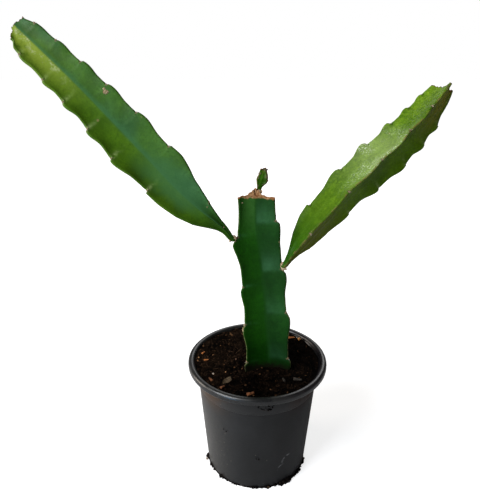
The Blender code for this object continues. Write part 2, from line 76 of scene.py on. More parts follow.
SCUFFS = (
    # middle of the arc's circle, its radius, width, how pale; each arc is its circle's upper left
    ((0.0296, -0.0414, 0.0275), 0.0080, 0.0014, 1.00), ((0.0240, -0.0448, 0.0195), 0.0060, 0.0010, 0.75),
)
MOUTH = ((0.1040, 0.0552), (0.1062, 0.0564), (0.1090, 0.0582), (0.1100, LIP_THROAT))
DRAIN_COUNT = 8
DRAIN_RADIUS = 0.0042
DRAIN_CIRCLE = 0.0300
OVAL, RIPPLE = 0.00022, 0.00010          # how far the wall is out of round
POT_SEGMENTS = 192


def between(pairs, distance):
    """A value read off a line drawn through (distance, value) pairs."""
    if distance <= pairs[0][0]:
        return pairs[0][1]
    for (d0, v0), (d1, v1) in zip(pairs, pairs[1:]):
        if distance <= d1:
            return v0 + (v1 - v0) * (distance - d0) / (d1 - d0)
    return pairs[-1][1]


def smoothstep(value):
    value = min(1.0, max(0.0, value))
    return value * value * (3 - 2 * value)


def set_down(name, data):
    """An object at the origin with a mesh, a lamp or a lens."""
    made = bpy.data.objects.new(name, data)
    bpy.context.scene.collection.objects.link(made)
    return made


def settle(made):
    """Keeps what an object's modifiers make as its plain mesh, and removes them."""
    settled = bpy.data.meshes.new_from_object(made.evaluated_get(bpy.context.evaluated_depsgraph_get()))
    made.modifiers.clear()
    made.data = settled


def shade(mesh, angle):
    """Smooth shading, with an edge kept sharp past an angle in degrees."""
    mesh.shade_smooth()
    mesh.set_sharp_from_angle(angle=math.radians(angle))


def add_mesh(name, verts, faces, material, smooth, **attributes):
    """One object at the origin from points and faces, with float attributes on its points."""
    mesh = bpy.data.meshes.new(name)
    mesh.from_pydata(verts, [], faces)
    for label, values in attributes.items():
        mesh.attributes.new(label, "FLOAT", "POINT").data.foreach_set("value", values)
    shape = bmesh.new()
    shape.from_mesh(mesh)
    bmesh.ops.recalc_face_normals(shape, faces=shape.faces)
    shape.to_mesh(mesh)
    shape.free()
    mesh.materials.append(material)
    shade(mesh, smooth)
    return set_down(name, mesh)


def hand_over(piece, slot, *replaced):
    """Gives a finished piece to the frame."""
    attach(piece, "root")
    if replaced:
        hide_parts(*replaced)


class Nodes:
    """A node tree being built. Inputs are values or other nodes' outputs."""

    def __init__(self, tree):
        self.tree = tree

    def plug(self, value, socket):
        if isinstance(value, bpy.types.NodeSocket):
            self.tree.links.new(value, socket)
        else:
            socket.default_value = (*value, 1.0) if socket.type == "RGBA" else value

    def node(self, kind, settings=None, **inputs):
        """A new node. Its inputs are named with _ for a space, or in_1 for the second one."""
        node = self.tree.nodes.new(kind)
        for label, value in (settings or {}).items():
            setattr(node, label, value)
        for label, value in inputs.items():
            key = int(label[3:]) if label.startswith("in_") else label.replace("_", " ")
            self.plug(value, node.inputs[key])
        return node

    def made(self, kind, settings=None, **inputs):
        """The first output of a new node."""
        return self.node(kind, settings, **inputs).outputs[0]

    def maths(self, operation, first, second=0.0):
        return self.made("ShaderNodeMath", {"operation": operation}, in_0=first, in_1=second)

    def times(self, first, *others):
        for other in others:
            first = self.maths("MULTIPLY", first, other)
        return first

    def plus(self, first, *others):
        for other in others:
            first = self.maths("ADD", first, other)
        return first


class Finish(Nodes):
    """A material being mixed: its colour and its relief are laid on in layers."""

    def __init__(self, name, **constants):
        self.material = bpy.data.materials.new(name)
        self.material.use_nodes = True
        super().__init__(self.material.node_tree)
        self.shader = self.tree.nodes["Principled BSDF"]
        self.place = self.tree.nodes.new("ShaderNodeTexCoord").outputs["Object"]
        self.colour, self.relief = None, {}
        self.give(**constants)

    def give(self, **values):
        """Sets or links the shader's inputs."""
        for label, value in values.items():
            self.plug(value, self.shader.inputs[label.replace("_", " ")])

    def axis(self, letter):
        return self.node("ShaderNodeSeparateXYZ", Vector=self.place).outputs[letter]

    def painted(self, label):
        """A float attribute of the mesh."""
        return self.node("ShaderNodeAttribute", {"attribute_name": label}).outputs["Fac"]

    def speckle(self, scale, detail=3.0, roughness=0.55):
        """Cloudy noise. Three scales, one for each axis, draw it out."""
        place = self.place
        if isinstance(scale, tuple):
            place, scale = self.made("ShaderNodeMapping", Vector=place, Scale=scale), 1.0
        return self.made("ShaderNodeTexNoise", Vector=place, Scale=scale, Detail=detail,
                         Roughness=roughness)

    def ramp(self, value, low, high):
        """Eases a value from 0 at low to 1 at high."""
        return self.made("ShaderNodeMapRange", {"interpolation_type": "SMOOTHSTEP"}, Value=value,
                         From_Min=low, From_Max=high)

    def mix(self, share, first, second, mode="MIX"):
        """One colour laid over another by a share from 0 to 1."""
        return self.node("ShaderNodeMix", {"data_type": "RGBA", "blend_type": mode}, in_0=share,
                         in_6=first, in_7=second).outputs[2]

    def tinted(self, tint):
        """The colour so far, multiplied by a tint."""
        return self.mix(1.0, self.colour, tint, "MULTIPLY")

    def lay(self, colour, *shares, mode="MIX"):
        """Lays a colour over the one so far, by the product of the shares."""
        self.colour = self.mix(self.times(*shares), self.colour, colour, mode)

    def bump(self, height, strength, distance):
        self.relief = {"Normal": self.made("ShaderNodeBump", Height=height, Strength=strength,
                                           Distance=distance, **self.relief)}

    def done(self, **inputs):
        self.give(Base_Color=self.colour, **inputs, **self.relief)
        return self.material


def around(radius, angle, height=0.0):
    """A point at a radius and an angle about Z."""
    return (radius * math.cos(angle), radius * math.sin(angle), height)


def joined_rings(rows, ring, turned=False, closed=True):
    """Quads between rows of points, each row a closed ring or an open strip. Turned, they face
    the other way."""
    faces = []
    for row in range(rows - 1):
        low, high = row * ring, (row + 1) * ring
        for step in range(ring if closed else ring - 1):
            after = (step + 1) % ring
            quad = (low + step, low + after, high + after, high + step)
            faces.append((quad[0], *quad[:0:-1]) if turned else quad)
    return faces


def arc(centre, radius, start, end, steps):
    """Points on a circular arc in the profile plane, angles in degrees."""
    turn = [math.radians(start + (end - start) * i / steps) for i in range(steps + 1)]
    return [(centre[0] + radius * math.cos(a), centre[1] + radius * math.sin(a)) for a in turn]


def wall_radius(height):
    """Outside radius of the tapered wall."""
    top = POT_HEIGHT - LIP_DROP
    return BASE_RADIUS + (SHOULDER_RADIUS - BASE_RADIUS) * min(1.0, height / top)


def inner_radius(height):
    """Inside radius: the tapered wall, then the flaring mouth."""
    if height <= MOUTH[0][0]:
        share = height / MOUTH[0][0]
        return (BASE_RADIUS - WALL) * (1 - share) + MOUTH[0][1] * share
    return between(MOUTH, height)


def pot_profile():
    """Radius and height, from the middle of the floor outside to the middle inside."""
    floor_top = FOOT_RISE + FLOOR
    under_lip = POT_HEIGHT - LIP_DROP
    ledge = POT_HEIGHT - LEDGE_BELOW_RIM
    lip_radius = (RIM_RADIUS - LIP_THROAT) / 2
    lip_centre = ((RIM_RADIUS + LIP_THROAT) / 2, POT_HEIGHT - lip_radius)
    points = [(0, 0), (CENTRE_PAD_RADIUS, 0), (CENTRE_PAD_RADIUS + FOOT_RISE, FOOT_RISE)]
    points += [(BASE_RADIUS - FOOT_RING, FOOT_RISE), (BASE_RADIUS - FOOT_RING + FOOT_RISE, 0)]
    points += arc((BASE_RADIUS - FOOT_ROUND, FOOT_ROUND), FOOT_ROUND, -90, 0, 6)
    points += [(wall_radius(ledge * i / 12), ledge * i / 12) for i in range(1, 13)]
    for rise, out in ((LEDGE_RISE / 2, 0.6 * LEDGE_DEPTH), (LEDGE_RISE, LEDGE_DEPTH)):
        points += [(wall_radius(ledge + rise) + out, ledge + rise)]
    neck = SHOULDER_RADIUS + 2 * LEDGE_DEPTH
    points += [(neck, under_lip - LIP_ROUND)]
    points += arc((neck + LIP_ROOT, under_lip - LIP_ROOT), LIP_ROOT, 180, 90, 3)
    points += arc((RIM_RADIUS - LIP_ROUND, under_lip + LIP_ROOT), LIP_ROUND, -90, 0, 5)
    points += arc(lip_centre, lip_radius, 0, 180, 18)
    points += [(radius, height) for height, radius in MOUTH[-2::-1]]
    points += [(inner_radius(floor_top), floor_top), (0, floor_top)]
    return points


def spun(profile, segments, wobble):
    """Points and faces of a profile turned about Z, closed at both ends on the axis."""
    verts = []
    for radius, height in profile[1:-1]:
        for step in range(segments):
            angle = math.tau * step / segments
            reach = radius + wobble(angle, height)
            verts.append(around(reach, angle, height))
    faces = joined_rings(len(profile) - 2, segments)
    last, foot_pole = len(verts) - segments, len(verts)
    for step in range(segments):
        after = (step + 1) % segments
        faces += [(foot_pole, after, step), (last + step, last + after, foot_pole + 1)]
    return verts + [(0, 0, profile[0][1]), (0, 0, profile[-1][1])], faces


def black_plastic():
    """Satin black plastic: dust and specks of soil, scuffed. Painted warm reflections lie in rust-brown
    under the lip at the sides and with dust on the left; painted shade darkens and dulls the right.
    """
    wall = Finish("black_plastic")
    sideways, height = wall.axis("X"), wall.axis("Z")
    cloudy = wall.speckle(28, 4)
    wall.colour = wall.mix(wall.ramp(cloudy, 0.35, 0.70), (0.0036, 0.0039, 0.0043), (0.0078, 0.0080, 0.0086))
    dusty_lip = wall.times(wall.ramp(height, POT_HEIGHT - 0.0052, POT_HEIGHT - 0.0005),
                           wall.ramp(wall.speckle(70, 5), 0.30, 0.72))
    wall.lay((0.046, 0.044, 0.038), dusty_lip, 0.40)
    soiled_foot = wall.times(wall.ramp(height, 0.040, 0.0), wall.ramp(wall.speckle(260, 4, 0.7), 0.52, 0.66))
    wall.lay((0.0030, 0.0024, 0.0020), soiled_foot, 0.70)
    dots = wall.node("ShaderNodeTexVoronoi", Vector=wall.place, Scale=230.0).outputs["Distance"]
    rare = wall.maths("GREATER_THAN", wall.speckle(40, 1), 0.60)
    wall.lay((0.120, 0.105, 0.085), wall.ramp(dots, 0.16, 0.08), rare, 0.5)
    # dust together with a painted warm reflection of the window light on the left side of the wall
    dust_and_glow_left = wall.times(wall.ramp(sideways, -0.016, -0.054), wall.ramp(height, 0.110, 0.030))
    wall.lay((0.058, 0.051, 0.040), dust_and_glow_left, wall.ramp(wall.speckle(620, 4, 0.75), 0.34, 0.66), 0.62)
    under_lip = wall.times(wall.ramp(height, 0.074, 0.102), wall.ramp(height, 0.1078, 0.1060))
    # painted warm reflection under the lip near both side edges, in rust-brown, with the sheen taken away
    # there
    brown_side_reflection = wall.times(under_lip, wall.ramp(wall.speckle(34, 3, 0.6), 0.25, 0.55),
                       wall.ramp(wall.maths("ABSOLUTE", sideways), 0.018, 0.048))
    wall.lay((0.062, 0.034, 0.017), brown_side_reflection, 0.80)
    # painted shade: the right side, turned away from the window, is made darker
    wall.lay((0.50, 0.40, 0.48), wall.ramp(sideways, 0.008, 0.040), mode="MULTIPLY")
    broken = wall.ramp(wall.speckle(210, 3, 0.6), 0.40, 0.58)
    for middle, radius, width, strength in SCUFFS:
        reach = wall.node("ShaderNodeVectorMath", {"operation": "DISTANCE"}, Vector=wall.place, in_1=middle)
        off_ring = wall.maths("ABSOLUTE", wall.maths("SUBTRACT", reach.outputs["Value"], radius))
        upper_left = wall.times(wall.ramp(sideways, middle[0] + 0.001, middle[0] - 0.002),
                                wall.ramp(height, middle[2] - 0.001, middle[2] + 0.002))
        wall.lay((0.105, 0.105, 0.110), wall.ramp(off_ring, width, 0.2 * width), broken, upper_left, strength)
    lip = wall.ramp(height, POT_HEIGHT - LIP_DROP - 0.001, POT_HEIGHT - LIP_DROP)
    # painted shade as well: the sheen fades toward the right side, away from the window
    sheen_fading_right = wall.made("ShaderNodeMapRange", Value=sideways, From_Min=-0.020, From_Max=0.050,
                        To_Min=0.36, To_Max=0.04)
    sheen = wall.times(sheen_fading_right, wall.maths("SUBTRACT", 1.0, wall.times(brown_side_reflection, 0.92)))
    rough = wall.plus(0.34, wall.times(cloudy, 0.14), wall.times(dusty_lip, 0.10), wall.times(lip, -0.14))
    wall.bump(wall.speckle(900, 2), 0.10, 0.0002)
    wall.bump(wall.speckle((180, 180, 1260), 2), 0.05, 0.0006)
    return wall.done(Roughness=rough, Specular_IOR_Level=wall.maths("MAXIMUM", sheen, wall.times(lip, 0.42)))


def pot_wobble(angle, height):
    """The wall and lip are never quite round on a soft pot."""
    return OVAL * math.sin(2 * angle + 0.7) * height / POT_HEIGHT + RIPPLE * math.sin(5 * angle)


pot = add_mesh("nursery_pot", *spun(pot_profile(), POT_SEGMENTS, pot_wobble), black_plastic(), 32)
drill_shape = bmesh.new()
for hole in range(DRAIN_COUNT):
    bearing = math.tau * (hole + 0.5) / DRAIN_COUNT
    bmesh.ops.create_cone(
        drill_shape, cap_ends=True, segments=32, radius1=DRAIN_RADIUS, radius2=DRAIN_RADIUS, depth=0.02,
        matrix=Matrix.Translation(around(DRAIN_CIRCLE, bearing)),
    )
drill_mesh = bpy.data.meshes.new("drain_drills")
drill_shape.to_mesh(drill_mesh)
drill_shape.free()
drills = set_down("drain_drills", drill_mesh)
drilling = pot.modifiers.new("drain_holes", "BOOLEAN")
drilling.operation = "DIFFERENCE"
drilling.object = drills
settle(pot)
bpy.data.objects.remove(drills)
hand_over(pot, "black_plastic", "pot")


# ------------------------------------------------------------------ potting mix
# Peat and composted bark, watered in and settled: dark, open and lumpy, heaped to
# the back left and sunk where the cutting was firmed in. Crumbs lie loose on top.
SOIL_LEVEL = 0.1082
HEAP_HEIGHT = 0.0026
SOIL_DIP = (0.0080, -0.0140)
DIP_DEPTH = 0.0048
DIP_WIDTH = 0.0212
BANK = (0.0185, -0.0040)         # mix pushed up into the valley on the cutting's front
BANK_SPREAD = (0.0165, 0.0110)
BANK_HEIGHT = 0.0050
SCRAPE = (-0.0100, -0.0100)      # and scraped away beside it
SCRAPE_SPREAD = 0.0090
SCRAPE_DEPTH = 0.0036
SWELLS, LUMPS, GRAIN = 0.0005, 0.0011, 0.0007            # the relief of the top, broad to fine
CRUMB_SHAPE = ((0.7, 0.6, 0.5), (1.3, 1.2, 0.9))         # thinnest and thickest, as shares of a crumb's size
SOIL_GAP = 0.0002                # between the mix and the wall
SOIL_RINGS = 96
SOIL_SEGMENTS = 240


def soil_height(x, y):
    """Top of the potting mix: heaped to the back left, sunk in front of the stem."""
    heap = HEAP_HEIGHT * smoothstep(0.5 + (-0.55 * x + 0.83 * y) / 0.10)
    lumps = SWELLS * math.sin(151 * x + 40 * y + 0.6) * math.cos(118 * y - 35 * x)
    from_dip = math.hypot(x - SOIL_DIP[0], y - SOIL_DIP[1])
    return SOIL_LEVEL + heap + lumps - DIP_DEPTH * math.exp(-((from_dip / DIP_WIDTH) ** 2))


def rough_soil(x, y):
    """The same surface with its clods and hollows."""
    spot = Vector((x, y, 0.3))
    coarse = noise.fractal(spot * 120, 1.0, 2.0, 4)
    fine = noise.fractal(spot * 520, 0.8, 2.1, 4)
    banked = math.hypot((x - BANK[0]) / BANK_SPREAD[0], (y - BANK[1]) / BANK_SPREAD[1])
    scraped = math.hypot(x - SCRAPE[0], y - SCRAPE[1]) / SCRAPE_SPREAD
    worked = BANK_HEIGHT * math.exp(-banked ** 2) - SCRAPE_DEPTH * math.exp(-scraped ** 2)
    return soil_height(x, y) + worked + LUMPS * coarse + GRAIN * fine


def potting_mix(name, dark=(0.0009, 0.0006, 0.0004), brown=(0.0085, 0.0046, 0.0025),
                tan=(0.13, 0.065, 0.030)):
    """Damp peat: nearly black in the hollows, brown where it has dried, and darker toward the
    front right by painted shade.
    """
    peat = Finish(name, Specular_IOR_Level=0.015)
    tone = peat.painted("tone")
    patchy = peat.speckle(95, 5, 0.65)
    fibre = peat.speckle((1400, 500, 700), 4, 0.7)
    # painted shade: darker toward the front right, where the stem and the lip shade the mix
    shaded_front_right = peat.ramp(peat.maths("SUBTRACT", peat.axis("X"), peat.axis("Y")), -0.022, 0.030)
    peat.colour = peat.mix(peat.ramp(patchy, 0.38, 0.72), dark, brown)
    peat.lay(brown, peat.ramp(tone, 0.55, 0.92))
    peat.lay(tan, peat.ramp(tone, 0.955, 0.99))
    peat.lay(brown, peat.ramp(fibre, 0.60, 0.75), 0.5)
    peat.lay((0.42, 0.42, 0.42), shaded_front_right, mode="MULTIPLY")
    peat.bump(fibre, 0.6, 0.0005)
    peat.bump(peat.speckle(1900, 3, 0.7), 0.5, 0.0003)
    return peat.done(Roughness=peat.maths("SUBTRACT", 0.98, peat.times(patchy, 0.25)))


def soil_shell():
    """The whole plug of soil, rough on top and plain down inside the pot."""
    verts, tones, tops = [], [], []
    for ring in range(SOIL_RINGS + 1):
        share = ring / SOIL_RINGS
        for step in range(SOIL_SEGMENTS):
            angle = math.tau * step / SOIL_SEGMENTS
            across, away = math.cos(angle), math.sin(angle)
            brim = soil_height(across * MOUTH[1][1], away * MOUTH[1][1])
            radius = max(share, 0.004) * (inner_radius(brim) - SOIL_GAP)
            x, y = radius * across, radius * away
            verts.append((x, y, rough_soil(x, y)))
            tones.append(0.5 + 0.5 * noise.noise(Vector((x, y, 0)) * 300))
            tops.append(1.0 if ring < SOIL_RINGS - 1 else 0.0)
    for height in (MOUTH[1][0], MOUTH[0][0], FOOT_RISE + FLOOR):
        radius = inner_radius(height) - SOIL_GAP
        for step in range(SOIL_SEGMENTS):
            angle = math.tau * step / SOIL_SEGMENTS
            verts.append(around(radius, angle, height))
            tones.append(0.3)
            tops.append(0.0)
    rows = len(verts) // SOIL_SEGMENTS
    faces = [tuple(range(SOIL_SEGMENTS)), *joined_rings(rows, SOIL_SEGMENTS, turned=True),
             tuple(range((rows - 1) * SOIL_SEGMENTS, rows * SOIL_SEGMENTS))]
    return verts, faces, tones, tops


class Growth(Nodes):
    """A Geometry Nodes tree with named inputs."""

    def __init__(self, name, **sockets):
        super().__init__(bpy.data.node_groups.new(name, "GeometryNodeTree"))
        for label, kind in {"Geometry": "Geometry", **sockets}.items():
            self.tree.interface.new_socket(label.replace("_", " "), in_out="INPUT",
                                           socket_type="NodeSocket" + kind)
        self.tree.interface.new_socket("Geometry", in_out="OUTPUT", socket_type="NodeSocketGeometry")
        self.given = self.tree.nodes.new("NodeGroupInput").outputs

    def throw(self, low, high, seed=0):
        """A random vector for each point."""
        return self.made("FunctionNodeRandomValue", {"data_type": "FLOAT_VECTOR"}, in_0=low, in_1=high,
                         in_8=seed)

    def vector(self, operation, first, second=(0.0, 0.0, 0.0), **more):
        return self.made("ShaderNodeVectorMath", {"operation": operation}, in_0=first, in_1=second, **more)

    def finished(self, geometry):
        self.node("NodeGroupOutput", Geometry=geometry)
        return self.tree


def scatter_tree():
    """Geometry nodes that strew rough lumps over the faces marked with the attribute open."""
    grow = Growth("strewn_lumps", Density="Float", Smallest="Float", Largest="Float", Thinnest="Vector",
                  Thickest="Vector", Raggedness="Float", Sinking="Float", Lump_Detail="Int", Seed="Int",
                  Finish="Material")
    given = grow.given
    open_ground = grow.made("GeometryNodeInputNamedAttribute", {"data_type": "FLOAT"}, Name="open")
    points = grow.made("GeometryNodeDistributePointsOnFaces", Mesh=given["Geometry"],
                       Density=grow.times(open_ground, given["Density"]), Seed=given["Seed"])
    pick = grow.node("FunctionNodeRandomValue", {"data_type": "FLOAT"}, Seed=given["Seed"]).outputs[1]
    size = grow.made("ShaderNodeMapRange", Value=grow.maths("POWER", pick, 3.0), To_Min=given["Smallest"],
                     To_Max=given["Largest"])
    squash = grow.throw(given["Thinnest"], given["Thickest"], given["Seed"])
    turn = grow.throw((-0.5, -0.5, 0.0), (0.5, 0.5, math.tau))
    ball = grow.made("GeometryNodeMeshIcoSphere", Radius=0.5, Subdivisions=given["Lump Detail"])
    placed = grow.made("GeometryNodeInstanceOnPoints", Points=points, Instance=ball,
                       Rotation=grow.made("FunctionNodeEulerToRotation", Euler=turn),
                       Scale=grow.vector("SCALE", squash, Scale=size))
    tone = grow.node("FunctionNodeRandomValue", {"data_type": "FLOAT"}, in_8=5).outputs[1]
    toned = grow.made("GeometryNodeStoreNamedAttribute", {"data_type": "FLOAT", "domain": "INSTANCE"},
                      Geometry=placed, Name="tone", Value=tone)
    spot = grow.made("GeometryNodeInputPosition")
    jag = grow.node("ShaderNodeTexNoise", Vector=spot, Scale=1500.0, Detail=2.0).outputs["Color"]
    ragged = grow.vector("SCALE", grow.vector("SUBTRACT", jag, (0.5, 0.5, 0.5)), Scale=given["Raggedness"])
    sunk = grow.made("ShaderNodeCombineXYZ", Z=grow.times(given["Sinking"], -1.0))
    real = grow.made("GeometryNodeRealizeInstances", Geometry=toned)
    moved = grow.made("GeometryNodeSetPosition", Geometry=real, Offset=grow.vector("ADD", ragged, sunk))
    return grow.finished(grow.made("GeometryNodeSetMaterial", Geometry=moved, Material=given["Finish"]))


def grown(name, guide, tree, values):
    """The plain mesh that a tree makes of a guide mesh, as an object at the origin."""
    made = set_down(name, guide)
    modifier = made.modifiers.new(tree.name, "NODES")
    modifier.node_group = tree
    for item in tree.interface.items_tree:
        if item.in_out == "INPUT" and item.name in values:
            modifier[item.identifier] = values[item.name]
    settle(made)
    made.data.name = name
    shade(made.data, 40)
    return made


def strewn(name, guide, finish, density, smallest, largest, thinnest, thickest, ragged, sinking, detail,
           seed):
    """Loose bits strewn over a guide mesh."""
    return grown(name, guide, strewing, {
        "Density": density, "Smallest": smallest, "Largest": largest, "Thinnest": thinnest,
        "Thickest": thickest, "Raggedness": ragged, "Sinking": sinking, "Lump Detail": detail, "Seed": seed,
        "Finish": finish})


mix_finish = potting_mix("potting_mix")
crumb_finish = potting_mix("potting_crumbs", dark=(0.0015, 0.0010, 0.0008), brown=(0.020, 0.0112, 0.0064))
fibre_finish = potting_mix("peat_fibres", dark=(0.018, 0.0105, 0.0065), brown=(0.070, 0.040, 0.024))
soil_verts, soil_faces, soil_tones, soil_tops = soil_shell()
soil = add_mesh("potting_soil_top", soil_verts, soil_faces, mix_finish, 60, tone=soil_tones, open=soil_tops)
hand_over(soil, "potting_mix", "potting_soil")
strewing = scatter_tree()
for label, finish, *look in (
        # name, finish, density, smallest and largest size, thinnest and thickest, raggedness,
        # sinking, detail, seed
        ("soil_crumbs", crumb_finish, 420000, 0.0004, 0.0026, *CRUMB_SHAPE, 0.0009, 0.0001, 2, 3),
        ("soil_bark_flakes", crumb_finish, 26000, 0.0012, 0.0050, (0.8, 0.22, 0.15), (1.3, 0.55, 0.35),
         0.0007, 0.0, 2, 11),
        ("soil_fibres", fibre_finish, 30000, 0.0024, 0.0085, (0.8, 0.035, 0.035), (1.2, 0.075, 0.07),
         0.0009, -0.0002, 3, 17)):
    hand_over(strewn(label, soil.data.copy(), finish, *look), "potting_mix")


# ------------------------------------------------------------------ the cutting and its side stems
# Three-winged pitahaya stems: a woody core with thin, fleshy green wings. Each wing's
# edge runs from areole to areole, swells to a crest and steps in sharply at the next one.
FACING = Vector((0, -1, 0))
GAP = 0.0003                     # between two stems where they meet
MARGIN = 0.0012                  # half the thickness of a wing's edge
FLANK_CURVE = 2.1                # how soon a wing thins out from its core
FLANK_SHARES = (0.08, 0.17, 0.26, 0.35, 0.44, 0.53, 0.62, 0.71, 0.80, 0.88, 0.95)
MARGIN_TURNS = (80, 55, 28, 0, -28, -55, -80)
FINE_STEP = 0.0008
NECK_RADIUS = 0.0024
CAP_RINGS = 7
NARROW_WING = 0.010              # a wing narrower than this has no notches
NOTCH_FADE = 0.012               # and one wider by this has them in full
SWELLING = 0.0025                # how far the margin swells to either side of an areole
FURROW_PAST, FURROW_WIDTH = 0.0006, 0.0017
# how soon before each areole the painted highlight and wax past it start, and how far after it they fade
WAX_HIGHLIGHT_BEFORE, WAX_HIGHLIGHT_PAST = 0.0026, 0.012
END_REACH = 0.014                # how far below a stem's end its wings begin to run past it
END_SUNK, END_WAVE = 0.0008, 0.0003


def curve_through(points, spacing):
    """Even steps along a smooth curve through the given points."""
    knots = [Vector(p) for p in points]
    knots = [2 * knots[0] - knots[1]] + knots + [2 * knots[-1] - knots[-2]]
    fine = []
    for a, b, c, d in zip(knots, knots[1:], knots[2:], knots[3:]):
        for i in range(24):
            t = i / 24
            fine.append(0.5 * (2 * b + (c - a) * t + (2 * a - 5 * b + 4 * c - d) * t * t
                               + (3 * b - a - 3 * c + d) * t ** 3))
    fine.append(knots[-2])
    travelled = [0.0]
    for a, b in zip(fine, fine[1:]):
        travelled.append(travelled[-1] + (b - a).length)
    count = max(4, round(travelled[-1] / spacing))
    even, index = [], 0
    for step in range(count + 1):
        target = travelled[-1] * step / count
        while index < len(fine) - 2 and travelled[index + 1] < target:
            index += 1
        share = (target - travelled[index]) / (travelled[index + 1] - travelled[index])
        even.append((target, fine[index].lerp(fine[index + 1], share)))
    return even


def spaced(start, gaps):
    """Areoles from the gaps between them."""
    places = [start]
    for gap in gaps:
        places.append(places[-1] + gap)
    return places


class Wing:
    """One wing: its angle from the facing side in degrees, how far its crests reach along the
    stem, its areoles measured from the base, how deep the notches step in, where between two
    areoles the crest stands, how much the edge has dropped by the next, how much of the painted
    window light, the lit and bluish copy of the skin, lies on each of its two flanks, and how much
    the flanks sink along the furrows."""

    def __init__(self, angle, reach, areoles, step_in, crest, drop, lit_shares=(0.5, 0.5), quilt=0.22):
        self.angle, self.reach, self.areoles, self.quilt = angle, reach, areoles, quilt
        self.step_in, self.crest, self.drop, self.lit_shares = step_in, crest, drop, lit_shares
        dice = random.Random(round(1000 * areoles[0]) + int(angle))
        self.moods = [(dice.uniform(-0.04, 0.04), dice.uniform(0.85, 1.15)) for _ in areoles]

    def notch(self, distance):
        """How far the edge steps in, 0 at a crest to 1 or so just past an areole."""
        for (start, end), (shift, depth) in zip(zip(self.areoles, self.areoles[1:]), self.moods):
            if start <= distance < end:
                share = (distance - start) / (end - start)
                crest = self.crest + shift
                rise = smoothstep((share - crest + 0.46) / 0.46)
                fall = self.drop * smoothstep((share - crest - 0.04) / (0.96 - crest)) ** 1.3
                lip = 0.10 * math.exp(-(((share - 0.10) / 0.06) ** 2))
                return depth * (1 - rise + fall - lip)
        return 0.0

    def stepped(self, distance, depth):
        """The crests' line stepped in by a depth, which fades out where the wing is narrow."""
        reach = between(self.reach, distance)
        return reach - self.step_in * smoothstep((reach - NARROW_WING) / NOTCH_FADE) * depth

    def edge(self, distance):
        return self.stepped(distance, self.notch(distance))

    def calm(self, distance):
        """The edge without its notches, which the flank below follows."""
        return self.stepped(distance, 0.45)

    def areole_nearness(self, distance):
        """1 at an areole, and 0 past its swelling."""
        nearest = min(abs(distance - place) for place in self.areoles)
        return max(0.0, 1 - nearest / SWELLING)

    def crease(self, distance):
        """1 along the furrow that runs in from each areole."""
        return max(math.exp(-(((distance - place - FURROW_PAST) / FURROW_WIDTH) ** 2))
                   for place in self.areoles)

    def after(self, distance):
        """1 just past an areole, with a short soft start, fading on the way to the next."""
        return max(math.exp(-(((distance - place) / (WAX_HIGHLIGHT_BEFORE if distance < place else WAX_HIGHLIGHT_PAST)) ** 2))
                   for place in self.areoles)

    def sway(self, distance):
        """The thin wing bows sideways between its areoles, in degrees."""
        for (start, end), (shift, depth) in zip(zip(self.areoles, self.areoles[1:]), self.moods):
            if start <= distance < end:
                swing = math.sin(math.pi * (distance - start) / (end - start)) ** 2
                return (3.2 + 50 * shift) * swing * depth
        return 0.0


